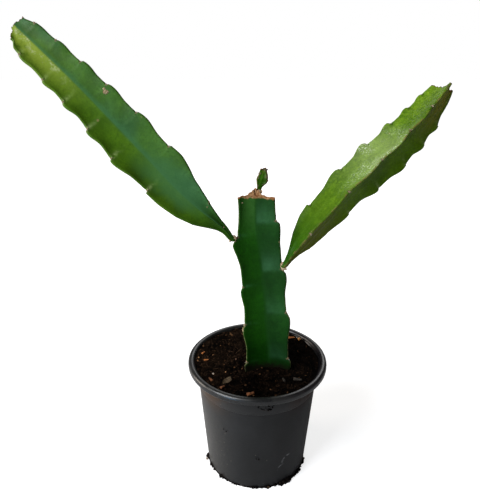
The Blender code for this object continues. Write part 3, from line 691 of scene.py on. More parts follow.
class Stem:
    """A three-winged stem along a curve, with a core radius and a slow twist."""

    def __init__(self, route, wings, core, twist=((0, 0),), step=FINE_STEP, heading=None,
                 lobes=(0, 0, 0), ragged=0.0, scabbed=0.0010):
        self.wings, self.core, self.twist = wings, core, twist
        self.lobes, self.ragged = lobes, ragged     # how far each wing's end runs past the core's
        self.scabbed = scabbed                      # how far the dried end runs down the skin
        self.stations = curve_through(route, step)
        self.length = self.stations[-1][0]
        self.heading = heading                      # the way it sets off, where it isn't its route's

    def axes(self, index):
        """Place, front and side directions of one section."""
        distance, place = self.stations[index]
        before = self.stations[max(0, index - 2)][1]
        after = self.stations[min(len(self.stations) - 1, index + 2)][1]
        along = (after - before).normalized()
        if index == 0 and self.heading:
            along = self.heading
        front = (FACING - along * FACING.dot(along)).normalized()
        return distance, place, front, along.cross(front)

    def nearest(self, distance):
        return min(range(len(self.stations)), key=lambda i: abs(self.stations[i][0] - distance))

    def section(self, index):
        """Points round one section, each with its flank share, tint, rim and areole marks."""
        distance, place, front, side = self.axes(index)
        along = front.cross(side)
        twist = between(self.twist, distance)
        core = between(self.core, distance)
        to_tip = smoothstep((distance - self.length + END_REACH) / END_REACH)
        ring = []
        for number, wing in enumerate(self.wings):
            following = self.wings[(number + 1) % len(self.wings)]
            previous = self.wings[number - 1]
            half = math.radians((following.angle - wing.angle) % 360) / 2
            half_back = math.radians((wing.angle - previous.angle) % 360) / 2
            here = math.radians(wing.angle + twist)
            near = wing.areole_nearness(distance)
            crease = wing.crease(distance)
            half_edge = min(MARGIN * (1 + 0.35 * near), 0.72 * core)
            reach = max(wing.edge(distance), core + 0.4 * half_edge)
            calm = max(wing.calm(distance), core + 0.4 * half_edge)
            sway = math.radians(wing.sway(distance))
            outline = []
            for turn, sense in ((half_back, -1), (half, 1)):
                foot_x, foot_y = core * math.cos(turn), core * math.sin(turn)
                for share in FLANK_SHARES if sense < 0 else FLANK_SHARES[::-1]:
                    x = foot_x + (calm - half_edge - foot_x) * share + (reach - calm) * share ** 6
                    y = half_edge + (foot_y - half_edge) * (1 - share) ** FLANK_CURVE
                    y -= wing.quilt * (y + 0.0006) * crease * share * share
                    outline.append((x, sense * y, share, wing.lit_shares[sense > 0], 0.0))
                if sense < 0:
                    for angle in MARGIN_TURNS:
                        x = reach - half_edge + half_edge * math.cos(math.radians(angle))
                        y = -half_edge * math.sin(math.radians(angle))
                        rim = math.cos(math.radians(angle))
                        outline.append((x, y, 1.0, wing.lit_shares[y > 0], rim))
            outline.append((core * math.cos(half), core * math.sin(half), 0.0,
                            (wing.lit_shares[1] + following.lit_shares[0]) / 2, 0.0))
            for x, y, share, tint, rim in outline:
                bend = here + sway * share ** 3
                outward = x * math.cos(bend) - y * math.sin(bend)
                across = x * math.sin(bend) + y * math.cos(bend)
                point = place + front * outward + side * across
                torn = self.ragged * noise.noise(Vector((7 * share, 3.1 * number + (y > 0), 0.5)))
                point += along * to_tip * (self.lobes[number] * share ** 1.5 + torn)
                ring.append((point, share, tint, rim, near * share ** 8, crease * share ** 2,
                             wing.after(distance) * min(1.0, 9 * share) * (1 - 0.6 * share ** 3)))
        return ring

    def edge_point(self, number, distance, room=0.0):
        """A point on one wing's edge, clear of it for room either way, and the way it faces."""
        _, place, front, side = self.axes(self.nearest(distance))
        wing = self.wings[number]
        angle = math.radians(wing.angle + between(self.twist, distance))
        outward = front * math.cos(angle) + side * math.sin(angle)
        reach = max(wing.edge(distance + share * room) for share in (-1, -0.5, 0, 0.5, 1))
        return place + outward * reach, outward

    def build(self, name, finish, crown, foot_bulge=0.0):
        """The closed skin. crown gives the height of the end over its rim, by share and angle."""
        labels = ("along", "flank", "tint", "rim", "felt", "crease", "after", "cut")
        verts, marks = [], {label: [] for label in labels}

        def add(point, along, share, tint, rim=0.0, felt=0.0, crease=0.0, after=0.0, cut=0.0):
            verts.append(point)
            for label, value in zip(labels, (along, share, tint, rim, felt, crease, after, cut)):
                marks[label].append(value)

        for index, (distance, _) in enumerate(self.stations):
            dry = 0.55 * smoothstep((distance - self.length + self.scabbed) / self.scabbed)
            for point, *painting in self.section(index):
                add(point, distance / self.length, *painting, dry)
        size = len(verts) // len(self.stations)
        last = len(self.stations) - 1
        _, middle, front, side = self.axes(last)
        along = front.cross(side)
        rim_points = [point.copy() for point in verts[last * size:(last + 1) * size]]
        for ring in range(1, CAP_RINGS):
            share = 1 - ring / CAP_RINGS
            for point in rim_points:
                flat = middle.lerp(point, share)
                angle = math.atan2((point - middle).dot(side), (point - middle).dot(front))
                add(flat + along * crown(share, angle), 1.0, share, 0.5, cut=1.0)
        faces = joined_rings(last + CAP_RINGS, size)
        add(middle + along * crown(0.0, 0.0), 1.0, 0.0, 0.5, cut=1.0)
        top_ring = (last + CAP_RINGS - 1) * size
        for step in range(size):
            faces.append((top_ring + step, top_ring + (step + 1) % size, len(verts) - 1))
        _, foot, front, side = self.axes(0)
        add(foot - front.cross(side) * foot_bulge, 0.0, 0.0, 0.5)
        for step in range(size):
            faces.append(((step + 1) % size, step, len(verts) - 1))
        return add_mesh(name, verts, faces, finish, 60, **marks)


def waxy_skin(name, cool, warm, tip, margin, tip_from=0.8, margin_share=0.6, streaks=0.0, gloss=0.36,
              valley_share=0.45, scab=None, wax=(0.20, 0.27, 0.10), bloom_and_highlight=0.0,
              band=None, shine=0.12, wrinkle=0.20, second=None, base_shade=(1.0, 1.0, 1.0),
              shade_from=0.34, shade_to=0.04, low_cool=0.0, soiled=0.0, brown_foot=None, crease_highlight=0.45):
    """Smooth green skin with its wax, mottled, with a corky line on the wings' edges and tan scars.

    cool and warm are a flank's colours at tint 1 and 0: cool is the flank turned to the window,
    painted as lit and, on the cutting and the left stem, with a painted bluish sky reflection;
    warm is the flank turned away, in painted warmer light or shade. second is another green in
    cool's patches. valley_share and low_cool say how much cool lies between the wings and low on
    the stem, and base_shade is the painted shade at the foot. A pale line in wax colour along each
    furrow, by crease_highlight, is the crease's painted highlight. Past each areole by
    bloom_and_highlight, or in one band that starts, peaks and ends at three shares of the length,
    lies pale wax with a painted highlight. soiled is the share that soil clings to.
    """
    skin = Finish(name, Specular_IOR_Level=shine)
    tint, along, flank, rim, felt, crease, after, cut = (
        skin.painted(label) for label in ("tint", "along", "flank", "rim", "felt", "crease", "after", "cut"))
    broad, fine = skin.speckle(34, 4, 0.6), skin.speckle(240, 4, 0.65)
    flecked = skin.speckle(520, 3, 0.6)
    if second:
        cool_face = skin.mix(skin.ramp(skin.speckle(19, 2, 0.4), 0.42, 0.58), cool, second)
    else:
        cool_face = cool
    # tint picks the flank's painted light: cool, the lit copy with its painted sky reflection, or warm, the
    # copy in painted warmer light or shade
    skin.colour = skin.mix(tint, warm, cool_face)

    # mottling, deeper and paler than the skin's own green
    deeper = skin.tinted((0.62, 0.66, 0.60))
    skin.lay(deeper, skin.ramp(broad, 0.62, 0.36))
    paler = skin.tinted((1.32, 1.22, 1.15))
    skin.lay(paler, skin.ramp(fine, 0.47, 0.66), 0.60)
    skin.lay(deeper, skin.ramp(flecked, 0.48, 0.36), 0.55)
    if band:
        # on the band's lit upper flank: painted highlights and shade on its ripples, a painted highlight past
        # each areole and painted shade in each furrow
        ripple = skin.speckle((360, 360, 460), 3, 0.6)
        upper = skin.times(tint, skin.ramp(along, 0.20, 0.55))
        skin.lay(skin.tinted((1.42, 1.30, 1.40)), upper, skin.ramp(ripple, 0.50, 0.62))
        shaded_green = skin.tinted((0.64, 0.74, 0.55))
        skin.lay(shaded_green, upper, skin.ramp(ripple, 0.50, 0.38))
        skin.lay(paler, after, upper, flank, 0.8)
        skin.lay(shaded_green, crease, upper, 0.8)
    # a pale line in wax colour along each furrow: the painted highlight on the crease's ridge
    skin.lay(wax, crease, skin.ramp(fine, 0.35, 0.62), skin.ramp(tint, 1.10, 0.30), crease_highlight)

    # the foot, darker by painted shade and browner on the warmer flanks, the young tip and the valley between
    # two wings
    if low_cool:
        skin.lay(cool, skin.ramp(along, 0.50, 0.34), skin.ramp(along, 0.12, 0.22),
                 skin.ramp(skin.plus(flank, broad), 1.35, 0.75), low_cool)
    skin.lay(base_shade, skin.ramp(along, shade_from, shade_to), mode="MULTIPLY")
    if brown_foot:
        skin.lay(brown_foot, skin.ramp(along, 0.46, 0.14), skin.ramp(tint, 0.55, 0.10), 0.65)
    skin.lay(tip, skin.ramp(along, tip_from, 1.0), skin.maths("SUBTRACT", 1.08, tint),
             skin.ramp(skin.plus(broad, fine), 0.55, 1.05), skin.ramp(flank, 1.30, 0.25))
    if valley_share:
        skin.lay(cool, skin.ramp(flank, 0.26, 0.0), skin.ramp(tint, 0.30, 0.62), valley_share)
    if streaks:
        skin.lay((0.46, 0.48, 0.26), skin.ramp(skin.speckle(150, 5, 0.75), 0.50, 0.66),
                 skin.ramp(flank, 0.62, 0.10), skin.ramp(along, 0.70, 0.92), skin.ramp(tint, 0.5, 0.2),
                 streaks)

    # pale wax with a painted highlight where the window lights the skin, in one band or just past each areole
    if bloom_and_highlight:
        cloud = skin.speckle((30, 30, 22), 3, 0.5)
        share = skin.ramp(skin.plus(cloud, skin.times(fine, 0.25)), 0.42, 0.86)
        if band:
            start, peak, end = band
            share = skin.times(skin.plus(skin.times(share, 0.45), 0.55), skin.ramp(along, start, peak),
                               skin.ramp(along, end, peak))
        else:
            higher = skin.made("ShaderNodeMapRange", Value=along, From_Min=0.44, From_Max=0.68, To_Min=0.36)
            share = skin.times(skin.plus(0.25, share), after, higher)
        wax_and_highlight = skin.times(share, tint, bloom_and_highlight)
        skin.lay(wax, wax_and_highlight)
        if band:
            # painted glints in the wax on the lit flank
            skin.lay((0.70, 0.78, 0.56), skin.ramp(skin.speckle(850, 2), 0.54, 0.62),
                     skin.ramp(cloud, 0.46, 0.58), wax_and_highlight, 1.9)

    # soil, small scars, the corky margin, the areoles' stain and the healed cut
    if soiled:
        level = skin.maths("SUBTRACT", along, skin.times(skin.plus(fine, flecked), 0.05))
        skin.lay((0.0045, 0.0050, 0.0022), skin.ramp(level, soiled - 0.020, soiled - 0.065))
    dots = skin.node("ShaderNodeTexVoronoi", Vector=skin.place, Scale=120.0).outputs
    few = skin.maths("GREATER_THAN", skin.made("ShaderNodeSeparateColor", Color=dots["Color"]), 0.93)
    skin.lay((0.20, 0.155, 0.060), skin.ramp(dots["Distance"], 0.16, 0.07), few, 0.75)
    corky = skin.times(skin.ramp(rim, 0.55, 0.98),
                       skin.ramp(skin.plus(fine, skin.times(broad, 0.5)), 0.62, 0.86))
    skin.lay(margin, corky, margin_share)
    skin.lay((0.10, 0.080, 0.045), skin.ramp(skin.plus(felt, skin.times(fine, 0.35)), 0.78, 1.10), 0.7)
    patchy = skin.ramp(fine, 0.38, 0.64)
    if scab:
        callus = skin.mix(patchy, scab, tuple(0.4 * part for part in scab))
    else:
        callus = skin.mix(patchy, (0.37, 0.215, 0.105), (0.18, 0.072, 0.024))
        callus = skin.mix(skin.ramp(flank, 0.75, 1.0), callus, (0.22, 0.085, 0.030))
    healed = skin.ramp(skin.plus(cut, skin.times(fine, 0.3)), 0.35, 0.75)
    skin.lay(callus, healed)
    skin.bump(skin.speckle(1500, 2), 0.12, 0.0002)
    if band:
        skin.bump(ripple, 0.60, 0.0010)
    skin.bump(fine, wrinkle, 0.0006)
    skin.bump(broad, 0.22, 0.0025)
    return skin.done(Roughness=skin.plus(gloss, skin.times(broad, 0.16),
                                         skin.times(skin.maths("MAXIMUM", healed, corky), 0.35)))


def shrunken(share, angle):
    """The end of a side stem: sunk between the wings."""
    return -END_SUNK * (1 - share) + END_WAVE * math.sin(3 * angle) * share


# The cutting itself is dark, shaded growth: deep green, with a painted bluish sky reflection
# on the flank that faces the window.
LEFT_JOINT = 0.1802
RIGHT_JOINT = 0.1508
MAIN_ROUTE = (
    (0.0112, -0.0015, 0.0600), (0.0110, -0.0020, 0.1060), (0.0088, -0.0025, 0.1450),
    (0.0052, -0.0020, 0.1880), (0.0008, -0.0020, 0.2220), (-0.0030, -0.0020, 0.2480),
    (-0.0036, -0.0020, 0.2702),
)
MAIN_REACH_LEFT = (
    (0, 0.0225), (0.055, 0.0250), (0.095, 0.0240), (0.125, 0.0228), (0.150, 0.0228),
    (0.164, 0.0233), (0.1735, 0.0243), (0.1785, 0.0220), (0.1815, 0.0208), (0.191, 0.0186),
    (0.210, 0.0173),
)
MAIN_REACH_RIGHT = (
    (0, 0.0215), (0.055, 0.0245), (0.105, 0.0255), (0.150, 0.0240), (0.190, 0.0235), (0.210, 0.0215),
)
MAIN_REACH_BACK = ((0, 0.0200), (0.060, 0.0235), (0.150, 0.0225), (0.210, 0.0190))
MAIN_CORE = ((0, 0.0070), (0.050, 0.0080), (0.210, 0.0072))
MAIN_TWIST = ((0, -9), (0.120, -8), (0.210, -3))
CALLUS_RIM, CALLUS_SUNK, CALLUS_CRUMPLE, CALLUS_PEAK = 0.0008, 0.0012, 0.0004, 0.0024


def callused(share, angle):
    """The healed cut: a raised dry rim, higher at the back left, round a sunk middle."""
    rim = math.exp(-(((share - 0.86) / 0.16) ** 2))
    back = 0.5 - 0.5 * math.cos(angle - 0.5)
    crumple = noise.noise(Vector((3 * math.cos(angle), 3 * math.sin(angle), 4 * share)))
    peak = CALLUS_PEAK * max(0.0, -math.cos(angle)) ** 3 * smoothstep(1.4 * share)
    return (CALLUS_RIM * rim * (0.3 + back) - CALLUS_SUNK * (1 - share)
            + CALLUS_CRUMPLE * crumple * (1.1 - share) + peak)


main_skin = waxy_skin("cutting_skin", cool=(0.0068, 0.043, 0.0048), warm=(0.0052, 0.048, 0.0006),
                      tip=(0.020, 0.075, 0.010), margin=(0.17, 0.18, 0.075), margin_share=0.55, gloss=0.42,
                      wax=(0.034, 0.114, 0.047), bloom_and_highlight=0.57, shine=0.06, base_shade=(0.36, 0.45, 0.32),
                      shade_from=0.58, shade_to=0.16, soiled=0.240)
main = Stem(
    MAIN_ROUTE,
    (
        Wing(-60, MAIN_REACH_LEFT, spaced(0.0150, (0.0395, 0.0405, 0.0375, 0.0470, 0.045)),
             0.0026, 0.86, 0.9, lit_shares=(0.3, 0.0)),
        Wing(60, MAIN_REACH_RIGHT, spaced(0.0145, (0.0460, 0.0460, 0.0410, 0.0440, 0.045)),
             0.0034, 0.86, 0.9, lit_shares=(1.0, 0.2)),
        Wing(180, MAIN_REACH_BACK, spaced(0.0020, (0.042, 0.046, 0.043, 0.044, 0.060)),
             0.0034, 0.86, 0.9, lit_shares=(0.4, 0.5)),
    ),
    MAIN_CORE, MAIN_TWIST, lobes=(0.0014, -0.0003, -0.0004), ragged=0.0018, scabbed=0.0022,
)
hand_over(main.build("cutting", main_skin, callused, 0.004), "cactus_green", "main_stem")


def side_route(stem, wing_number, distance, rest):
    """A side stem starts square to the wing's edge, close against it."""
    foot, outward = stem.edge_point(wing_number, distance, NECK_RADIUS)
    route = (foot + outward * GAP, foot + outward * 0.0035 + Vector((0, 0, 0.0010)), *rest)
    return {"route": route, "heading": outward}


# The left side stem turns the valley between two wings forward: a painted bluish sky reflection
# lies on the flank above it, and yellower green in painted warm light on the flank below.
LEFT_ROUTE_REST = (
    (-0.0315, -0.0128, 0.2465), (-0.0489, -0.0110, 0.2603), (-0.0667, -0.0091, 0.2766),
    (-0.0872, -0.0066, 0.2984), (-0.1115, -0.0035, 0.3248), (-0.1353, -0.0004, 0.3501),
    (-0.1530, 0.0019, 0.3680), (-0.1737, 0.0046, 0.3881), (-0.1843, 0.0059, 0.3983),
)
LEFT_LOWER_REACH = (
    (0, NECK_RADIUS), (0.010, 0.0030), (0.018, 0.0054), (0.0255, 0.0090), (0.036, 0.0147),
    (0.050, 0.0192), (0.066, 0.0219), (0.080, 0.0226), (0.100, 0.0260), (0.118, 0.0256),
    (0.150, 0.0224), (0.182, 0.0202), (0.207, 0.0182), (0.222, 0.0160), (0.230, 0.0115),
)
LEFT_UPPER_REACH = (
    (0, NECK_RADIUS), (0.010, 0.0030), (0.020, 0.0050), (0.036, 0.0110), (0.052, 0.0186),
    (0.066, 0.0224), (0.080, 0.0246), (0.118, 0.0242), (0.150, 0.0216), (0.182, 0.0190),
    (0.207, 0.0162), (0.222, 0.0144), (0.230, 0.0100),
)
LEFT_BACK_REACH = (
    (0, NECK_RADIUS), (0.010, 0.0032), (0.020, 0.0060), (0.040, 0.0160), (0.066, 0.0222),
    (0.100, 0.0236), (0.150, 0.0215), (0.207, 0.0175), (0.222, 0.0150), (0.230, 0.0105),
)
LEFT_CORE = (
    (0, 0.0020), (0.010, 0.0028), (0.030, 0.0060), (0.060, 0.0078), (0.190, 0.0072), (0.234, 0.0050),
)
LEFT_TWIST = ((0, 14), (0.120, 15), (0.234, 17))
left_skin = waxy_skin("left_stem_skin", cool=(0.038, 0.122, 0.040), warm=(0.052, 0.125, 0.0040),
                      second=(0.040, 0.112, 0.012), base_shade=(0.30, 0.50, 0.14), shade_from=0.26,
                      tip=(0.190, 0.250, 0.022), tip_from=0.62, margin=(0.120, 0.120, 0.030),
                      margin_share=0.3, wax=(0.24, 0.31, 0.11), crease_highlight=0.85, streaks=0.75, low_cool=0.6,
                      valley_share=0.7, shine=0.11, gloss=0.38, scab=(0.10, 0.030, 0.014))
left = Stem(
    wings=(
        Wing(-60, LEFT_LOWER_REACH, spaced(0.079, (0.0357, 0.0278, 0.0264, 0.0216, 0.0243, 0.030)),
             0.0023, 0.88, 0.25, lit_shares=(0.2, 0.0)),
        Wing(60, LEFT_UPPER_REACH,
             spaced(0.037, (0.0545, 0.0351, 0.0297, 0.0242, 0.0227, 0.0191, 0.030)),
             0.0025, 0.82, 0.30, lit_shares=(1.0, 0.6)),
        Wing(180, LEFT_BACK_REACH, spaced(0.045, (0.045, 0.037, 0.032, 0.030, 0.025, 0.030)),
             0.0034, 0.75, 0.6, lit_shares=(0.5, 0.3)),
    ),
    core=LEFT_CORE, twist=LEFT_TWIST, lobes=(-0.0043, -0.0004, -0.0010), ragged=0.0022, scabbed=0.0012,
    **side_route(main, 0, LEFT_JOINT, LEFT_ROUTE_REST),
)
hand_over(left.build("left_side_stem", left_skin, shrunken), "cactus_green", "left_branch")

# The right side stem: one wing faces the front. The flank above it is painted lit, pale with wax
# and a painted highlight, and the flank below it olive in painted shade.
RIGHT_ROUTE_REST = (
    (0.0301, -0.0092, 0.2242), (0.0409, -0.0061, 0.2392), (0.0502, -0.0035, 0.2507),
    (0.0717, 0.0020, 0.2740), (0.0963, 0.0078, 0.2961), (0.1141, 0.0120, 0.3121),
    (0.1312, 0.0164, 0.3294), (0.1453, 0.0204, 0.3458), (0.1500, 0.0218, 0.3516),
)
RIGHT_LOWER_REACH = (
    (0, NECK_RADIUS), (0.010, 0.0036), (0.018, 0.0066), (0.030, 0.0138), (0.045, 0.0200),
    (0.066, 0.0216), (0.090, 0.0236), (0.120, 0.0250), (0.150, 0.0224), (0.175, 0.0178),
    (0.190, 0.0102), (0.2005, 0.0046),
)
RIGHT_UPPER_REACH = (
    (0, NECK_RADIUS), (0.010, 0.0030), (0.018, 0.0055), (0.030, 0.0110), (0.045, 0.0156),
    (0.066, 0.0184), (0.090, 0.0196), (0.120, 0.0220), (0.150, 0.0206), (0.175, 0.0172),
    (0.190, 0.0152), (0.2005, 0.0118),
)
RIGHT_FRONT_REACH = (
    (0, NECK_RADIUS), (0.010, 0.0032), (0.018, 0.0062), (0.030, 0.0125), (0.045, 0.0170),
    (0.090, 0.0205), (0.120, 0.0225), (0.150, 0.0215), (0.175, 0.0188), (0.2005, 0.0110),
)
RIGHT_CORE = (
    (0, 0.0020), (0.008, 0.0028), (0.028, 0.0058), (0.055, 0.0074), (0.170, 0.0072), (0.200, 0.0050),
)
RIGHT_TWIST = ((0, -7), (0.080, -9), (0.150, -18), (0.200, -19))
right_skin = waxy_skin("right_stem_skin", cool=(0.086, 0.172, 0.0080), warm=(0.068, 0.144, 0.0006),
                       base_shade=(0.30, 0.60, 0.45), brown_foot=(0.115, 0.120, 0.008),
                       tip=(0.170, 0.160, 0.012), tip_from=0.74, margin=(0.150, 0.110, 0.036),
                       margin_share=0.75, wax=(0.34, 0.42, 0.16), bloom_and_highlight=0.44, band=(0.36, 0.66, 0.80),
                       valley_share=0.0, shine=0.045, gloss=0.33, wrinkle=0.36, scab=(0.12, 0.050, 0.020))
right = Stem(
    wings=(
        Wing(0, RIGHT_FRONT_REACH, spaced(0.0383, (0.0450, 0.035, 0.032, 0.0253, 0.018, 0.030)),
             0.0026, 0.80, 0.6, lit_shares=(1.0, 0.0)),
        Wing(120, RIGHT_LOWER_REACH,
             spaced(0.0266, (0.047, 0.0345, 0.0289, 0.0212, 0.0170, 0.0155, 0.030)),
             0.0025, 0.84, 0.35, lit_shares=(0.0, 0.3)),
        Wing(240, RIGHT_UPPER_REACH, spaced(0.0560, (0.0378, 0.0304, 0.0270, 0.0196, 0.0152, 0.030)),
             0.0036, 0.90, 0.40, lit_shares=(0.5, 1.0), quilt=0.60),
    ),
    core=RIGHT_CORE, twist=RIGHT_TWIST, lobes=(0.0042, 0.0050, 0.0002), ragged=0.0014, scabbed=0.0012,
    **side_route(main, 1, RIGHT_JOINT, RIGHT_ROUTE_REST),
)
hand_over(right.build("right_side_stem", right_skin, shrunken), "cactus_green", "right_branch")


# ------------------------------------------------------------------ areoles
# Every areole is a small cushion of grey-tan felt in the notch of the wing's edge,
# with a few short stiff spines standing out of it.
CUSHION_RADIUS = 0.0009
SPINE_LENGTH = 0.0027
SPINE_RADIUS = 0.00020
SPINE_COUNT = 4
BARE_END = 0.002                 # no areole this close to a stem's end


def grained(name, dark, pale, scale, detail=3, roughness=0.7, spread=(0.35, 0.65), relief=None, **constants):
    """A plain finish of two colours in one grain, which also raises the surface."""
    plain = Finish(name, **constants)
    grain = plain.speckle(scale, detail, roughness)
    plain.colour = plain.mix(plain.ramp(grain, *spread), dark, pale)
    if relief:
        plain.bump(grain, *relief)
    return plain


def tuft_tree():
    """Geometry nodes that grow a felt cushion and some spines on every point of a guide."""
    grow = Growth("areole_tufts", Cushion_Radius="Float", Spine_Length="Float", Spine_Radius="Float",
                  Spines="Int", Seed="Int", Felt="Material", Horn="Material")
    given = grow.given
    facing = grow.made("GeometryNodeInputNamedAttribute", {"data_type": "FLOAT_VECTOR"}, Name="outward")
    upright = grow.made("FunctionNodeAlignRotationToVector", {"axis": "Z"}, Vector=facing)
    pad = grow.made("GeometryNodeMeshIcoSphere", Radius=given["Cushion Radius"], Subdivisions=3)
    pads = grow.made("GeometryNodeInstanceOnPoints", Points=given["Geometry"], Instance=pad,
                     Rotation=upright, Scale=grow.throw((0.8, 0.8, 0.5), (1.3, 1.2, 0.8), given["Seed"]))
    copies = grow.made("GeometryNodeDuplicateElements", {"domain": "POINT"}, Geometry=given["Geometry"],
                       Amount=given["Spines"])
    lean = grow.throw((-0.9, -0.9, 0.0), (0.9, 0.9, math.tau), given["Seed"])
    leaning = grow.made("FunctionNodeRotateRotation", {"rotation_space": "LOCAL"}, Rotation=upright,
                        in_1=lean)
    needle = grow.made("GeometryNodeMeshCone", Vertices=5, Radius_Top=0.0,
                       Radius_Bottom=given["Spine Radius"], Depth=given["Spine Length"])
    spines = grow.made("GeometryNodeInstanceOnPoints", Points=copies, Instance=needle, Rotation=leaning,
                       Scale=grow.throw((0.7, 0.7, 0.45), (1.1, 1.1, 1.2)))
    joined = grow.node("GeometryNodeJoinGeometry")
    for bits, finish in ((pads, "Felt"), (spines, "Horn")):
        dressed = grow.made("GeometryNodeSetMaterial", Geometry=bits, Material=given[finish])
        grow.plug(dressed, joined.inputs[0])
    return grow.finished(grow.made("GeometryNodeRealizeInstances", Geometry=joined.outputs[0]))


def areoles_of(name, stem, seed, lowest):
    """The tufts of one stem, on every areole above lowest."""
    places, facings = [], []
    for number, wing in enumerate(stem.wings):
        for distance in wing.areoles:
            if lowest < distance < stem.length - BARE_END:
                point, outward = stem.edge_point(number, distance + 0.0004)
                places.append(point - outward * 0.0001)
                facings.extend(outward)
    guide = bpy.data.meshes.new(name + "_guide")
    guide.from_pydata(places, [], [])
    guide.attributes.new("outward", "FLOAT_VECTOR", "POINT").data.foreach_set("vector", facings)
    return grown(name, guide, tufting, {
        "Cushion Radius": CUSHION_RADIUS, "Spine Length": SPINE_LENGTH, "Spine Radius": SPINE_RADIUS,
        "Spines": SPINE_COUNT, "Seed": seed, "Felt": felt, "Horn": horn})


felt = grained("areole_felt", (0.090, 0.052, 0.024), (0.34, 0.245, 0.13), 2600, relief=(0.6, 0.0003),
               Roughness=0.95, Specular_IOR_Level=0.1).done()
horn = grained("spine_horn", (0.28, 0.22, 0.14), (0.62, 0.55, 0.42), 900, 2, 0.55, spread=(0.4, 0.6),
               Roughness=0.55).done()
tufting = tuft_tree()
for label, stem, seed, lowest in (("cutting_areoles", main, 4, 0.052), ("left_stem_areoles", left, 7, 0.0),
                                  ("right_stem_areoles", right, 9, 0.0)):
    hand_over(areoles_of(label, stem, seed, lowest), "dry_leaf_tan")


# ------------------------------------------------------------------ corky collars
# Where a side stem broke out of an areole the cutting healed with a lumpy, corky
# collar, tan on the ridges and brown in the cracks. The narrow necks stand in them.
UP = Vector((0, 0, 1))


def reshaped(name, shape, moved, finish, smooth):
    """One object from a primitive whose every point goes through a function."""
    verts = [moved(vert.co) for vert in shape.verts]
    faces = [[vert.index for vert in face.verts] for face in shape.faces]
    shape.free()
    return add_mesh(name, verts, faces, finish, smooth)


def lump(name, centre, radii, finish, seed, rough=0.25, detail=4, axis=UP, grain=1.0):
    """A rounded irregular lump; rough is the relief as a share of its size."""
    shape = bmesh.new()
    bmesh.ops.create_icosphere(shape, subdivisions=detail, radius=1.0)
    turn = UP.rotation_difference(axis).to_matrix()

    def swollen(spot):
        relief = noise.fractal(spot * 1.6 * grain + Vector((7.3 * seed, seed, 0)), 0.7, 2.0, 4)
        swell = spot * (1 + rough * relief)
        return centre + turn @ Vector((swell.x * radii[0], swell.y * radii[1], swell.z * radii[2]))

    return reshaped(name, shape, swollen, finish, 55)


def cork_finish(name, brown, tan):
    """Dry cork: its grain, and darker cracks between its cells."""
    cork = grained(name, brown, tan, 800, 4, relief=(0.7, 0.0004), Roughness=0.9, Specular_IOR_Level=0.2)
    cells = cork.node("ShaderNodeTexVoronoi", {"feature": "DISTANCE_TO_EDGE"}, Vector=cork.place,
                      Scale=1100.0)
    cork.lay((0.130, 0.070, 0.035), cork.ramp(cells.outputs["Distance"], 0.07, 0.01))
    return cork.done()


def joined_pieces(name, pieces):
    """Several meshes made one piece."""
    merged = bmesh.new()
    for piece in pieces:
        merged.from_mesh(piece.data)
    mesh = bpy.data.meshes.new(name)
    for finish in pieces[0].data.materials:
        mesh.materials.append(finish)
    merged.to_mesh(mesh)
    merged.free()
    for piece in pieces:
        bpy.data.objects.remove(piece)
    shade(mesh, 55)
    return set_down(name, mesh)


LEFT_KNOBS = (
    # out along the neck, up, forward, radius, thickness
    (0.0004, 0.0004, 0.0004, 0.0024, 0.0014), (0.0002, -0.0019, 0.0010, 0.0013, 0.0010),
    (0.0012, 0.0020, 0.0010, 0.0011, 0.0010), (0.0048, -0.0008, 0.0016, 0.0010, 0.0008),
)
RIGHT_KNOBS = (
    (0.0008, -0.0004, 0.0008, 0.0027, 0.0018), (0.0012, -0.0024, 0.0018, 0.0018, 0.0014),
    (0.0036, -0.0022, 0.0020, 0.0011, 0.0009), (0.0006, 0.0022, 0.0004, 0.0012, 0.0010),
)


def collar(name, wing_number, distance, seed, knobs):
    """A corky ring round a neck with smaller knobs of scar beside it."""
    foot, outward = main.edge_point(wing_number, distance, NECK_RADIUS)
    parts = []
    for index, (out, rise, forward, radius, thick) in enumerate(knobs):
        centre = foot + outward * out + UP * rise + FACING * forward
        parts.append(lump(f"{name}_{index}", centre, (radius, radius * 0.85, thick), cork, seed + index,
                          rough=0.28, axis=outward, grain=1.4))
    return joined_pieces(name, parts)


cork = cork_finish("scar_cork", (0.25, 0.165, 0.082), (0.58, 0.48, 0.31))
old_cork = cork_finish("old_scab_cork", (0.15, 0.105, 0.050), (0.40, 0.33, 0.185))
for label, wing_number, distance, seed, knobs in (("left_joint_collar", 0, LEFT_JOINT, 3, LEFT_KNOBS),
                                                  ("right_joint_collar", 1, RIGHT_JOINT, 8, RIGHT_KNOBS)):
    hand_over(collar(label, wing_number, distance, seed, knobs), "dry_leaf_tan")


# ------------------------------------------------------------------ old scars
# Knocks and insect bites that healed as small tan scabs, proud of the skin, and a short
# row of them on the cutting's left edge where it rubbed on its stake.
SCARS = (
    # stem, distance from its base, wing, share of the way to the edge, side, size
    (left, 0.1535, 1, 0.71, -1, (0.0021, 0.0016, 0.0005)),
    (left, 0.1560, 1, 0.80, -1, (0.0012, 0.0009, 0.0004)),
    (left, 0.0150, 1, 0.44, -1, (0.0006, 0.0006, 0.0003)),
    (left, 0.0360, 1, 0.71, -1, (0.0005, 0.0005, 0.0003)),
    (main, 0.2062, 0, 0.80, 1, (0.0007, 0.0006, 0.0003)),
    (right, 0.0300, 0, 0.95, 1, (0.0007, 0.0005, 0.0004)),
    (right, 0.1430, 2, 0.44, 1, (0.0006, 0.0005, 0.0003)),
)
RUBBED = (0.0895, 0.0915, 0.0935)        # where the stake rubbed, along the cutting's left wing
RUB_SIZE = (0.0006, 0.0012, 0.0006)


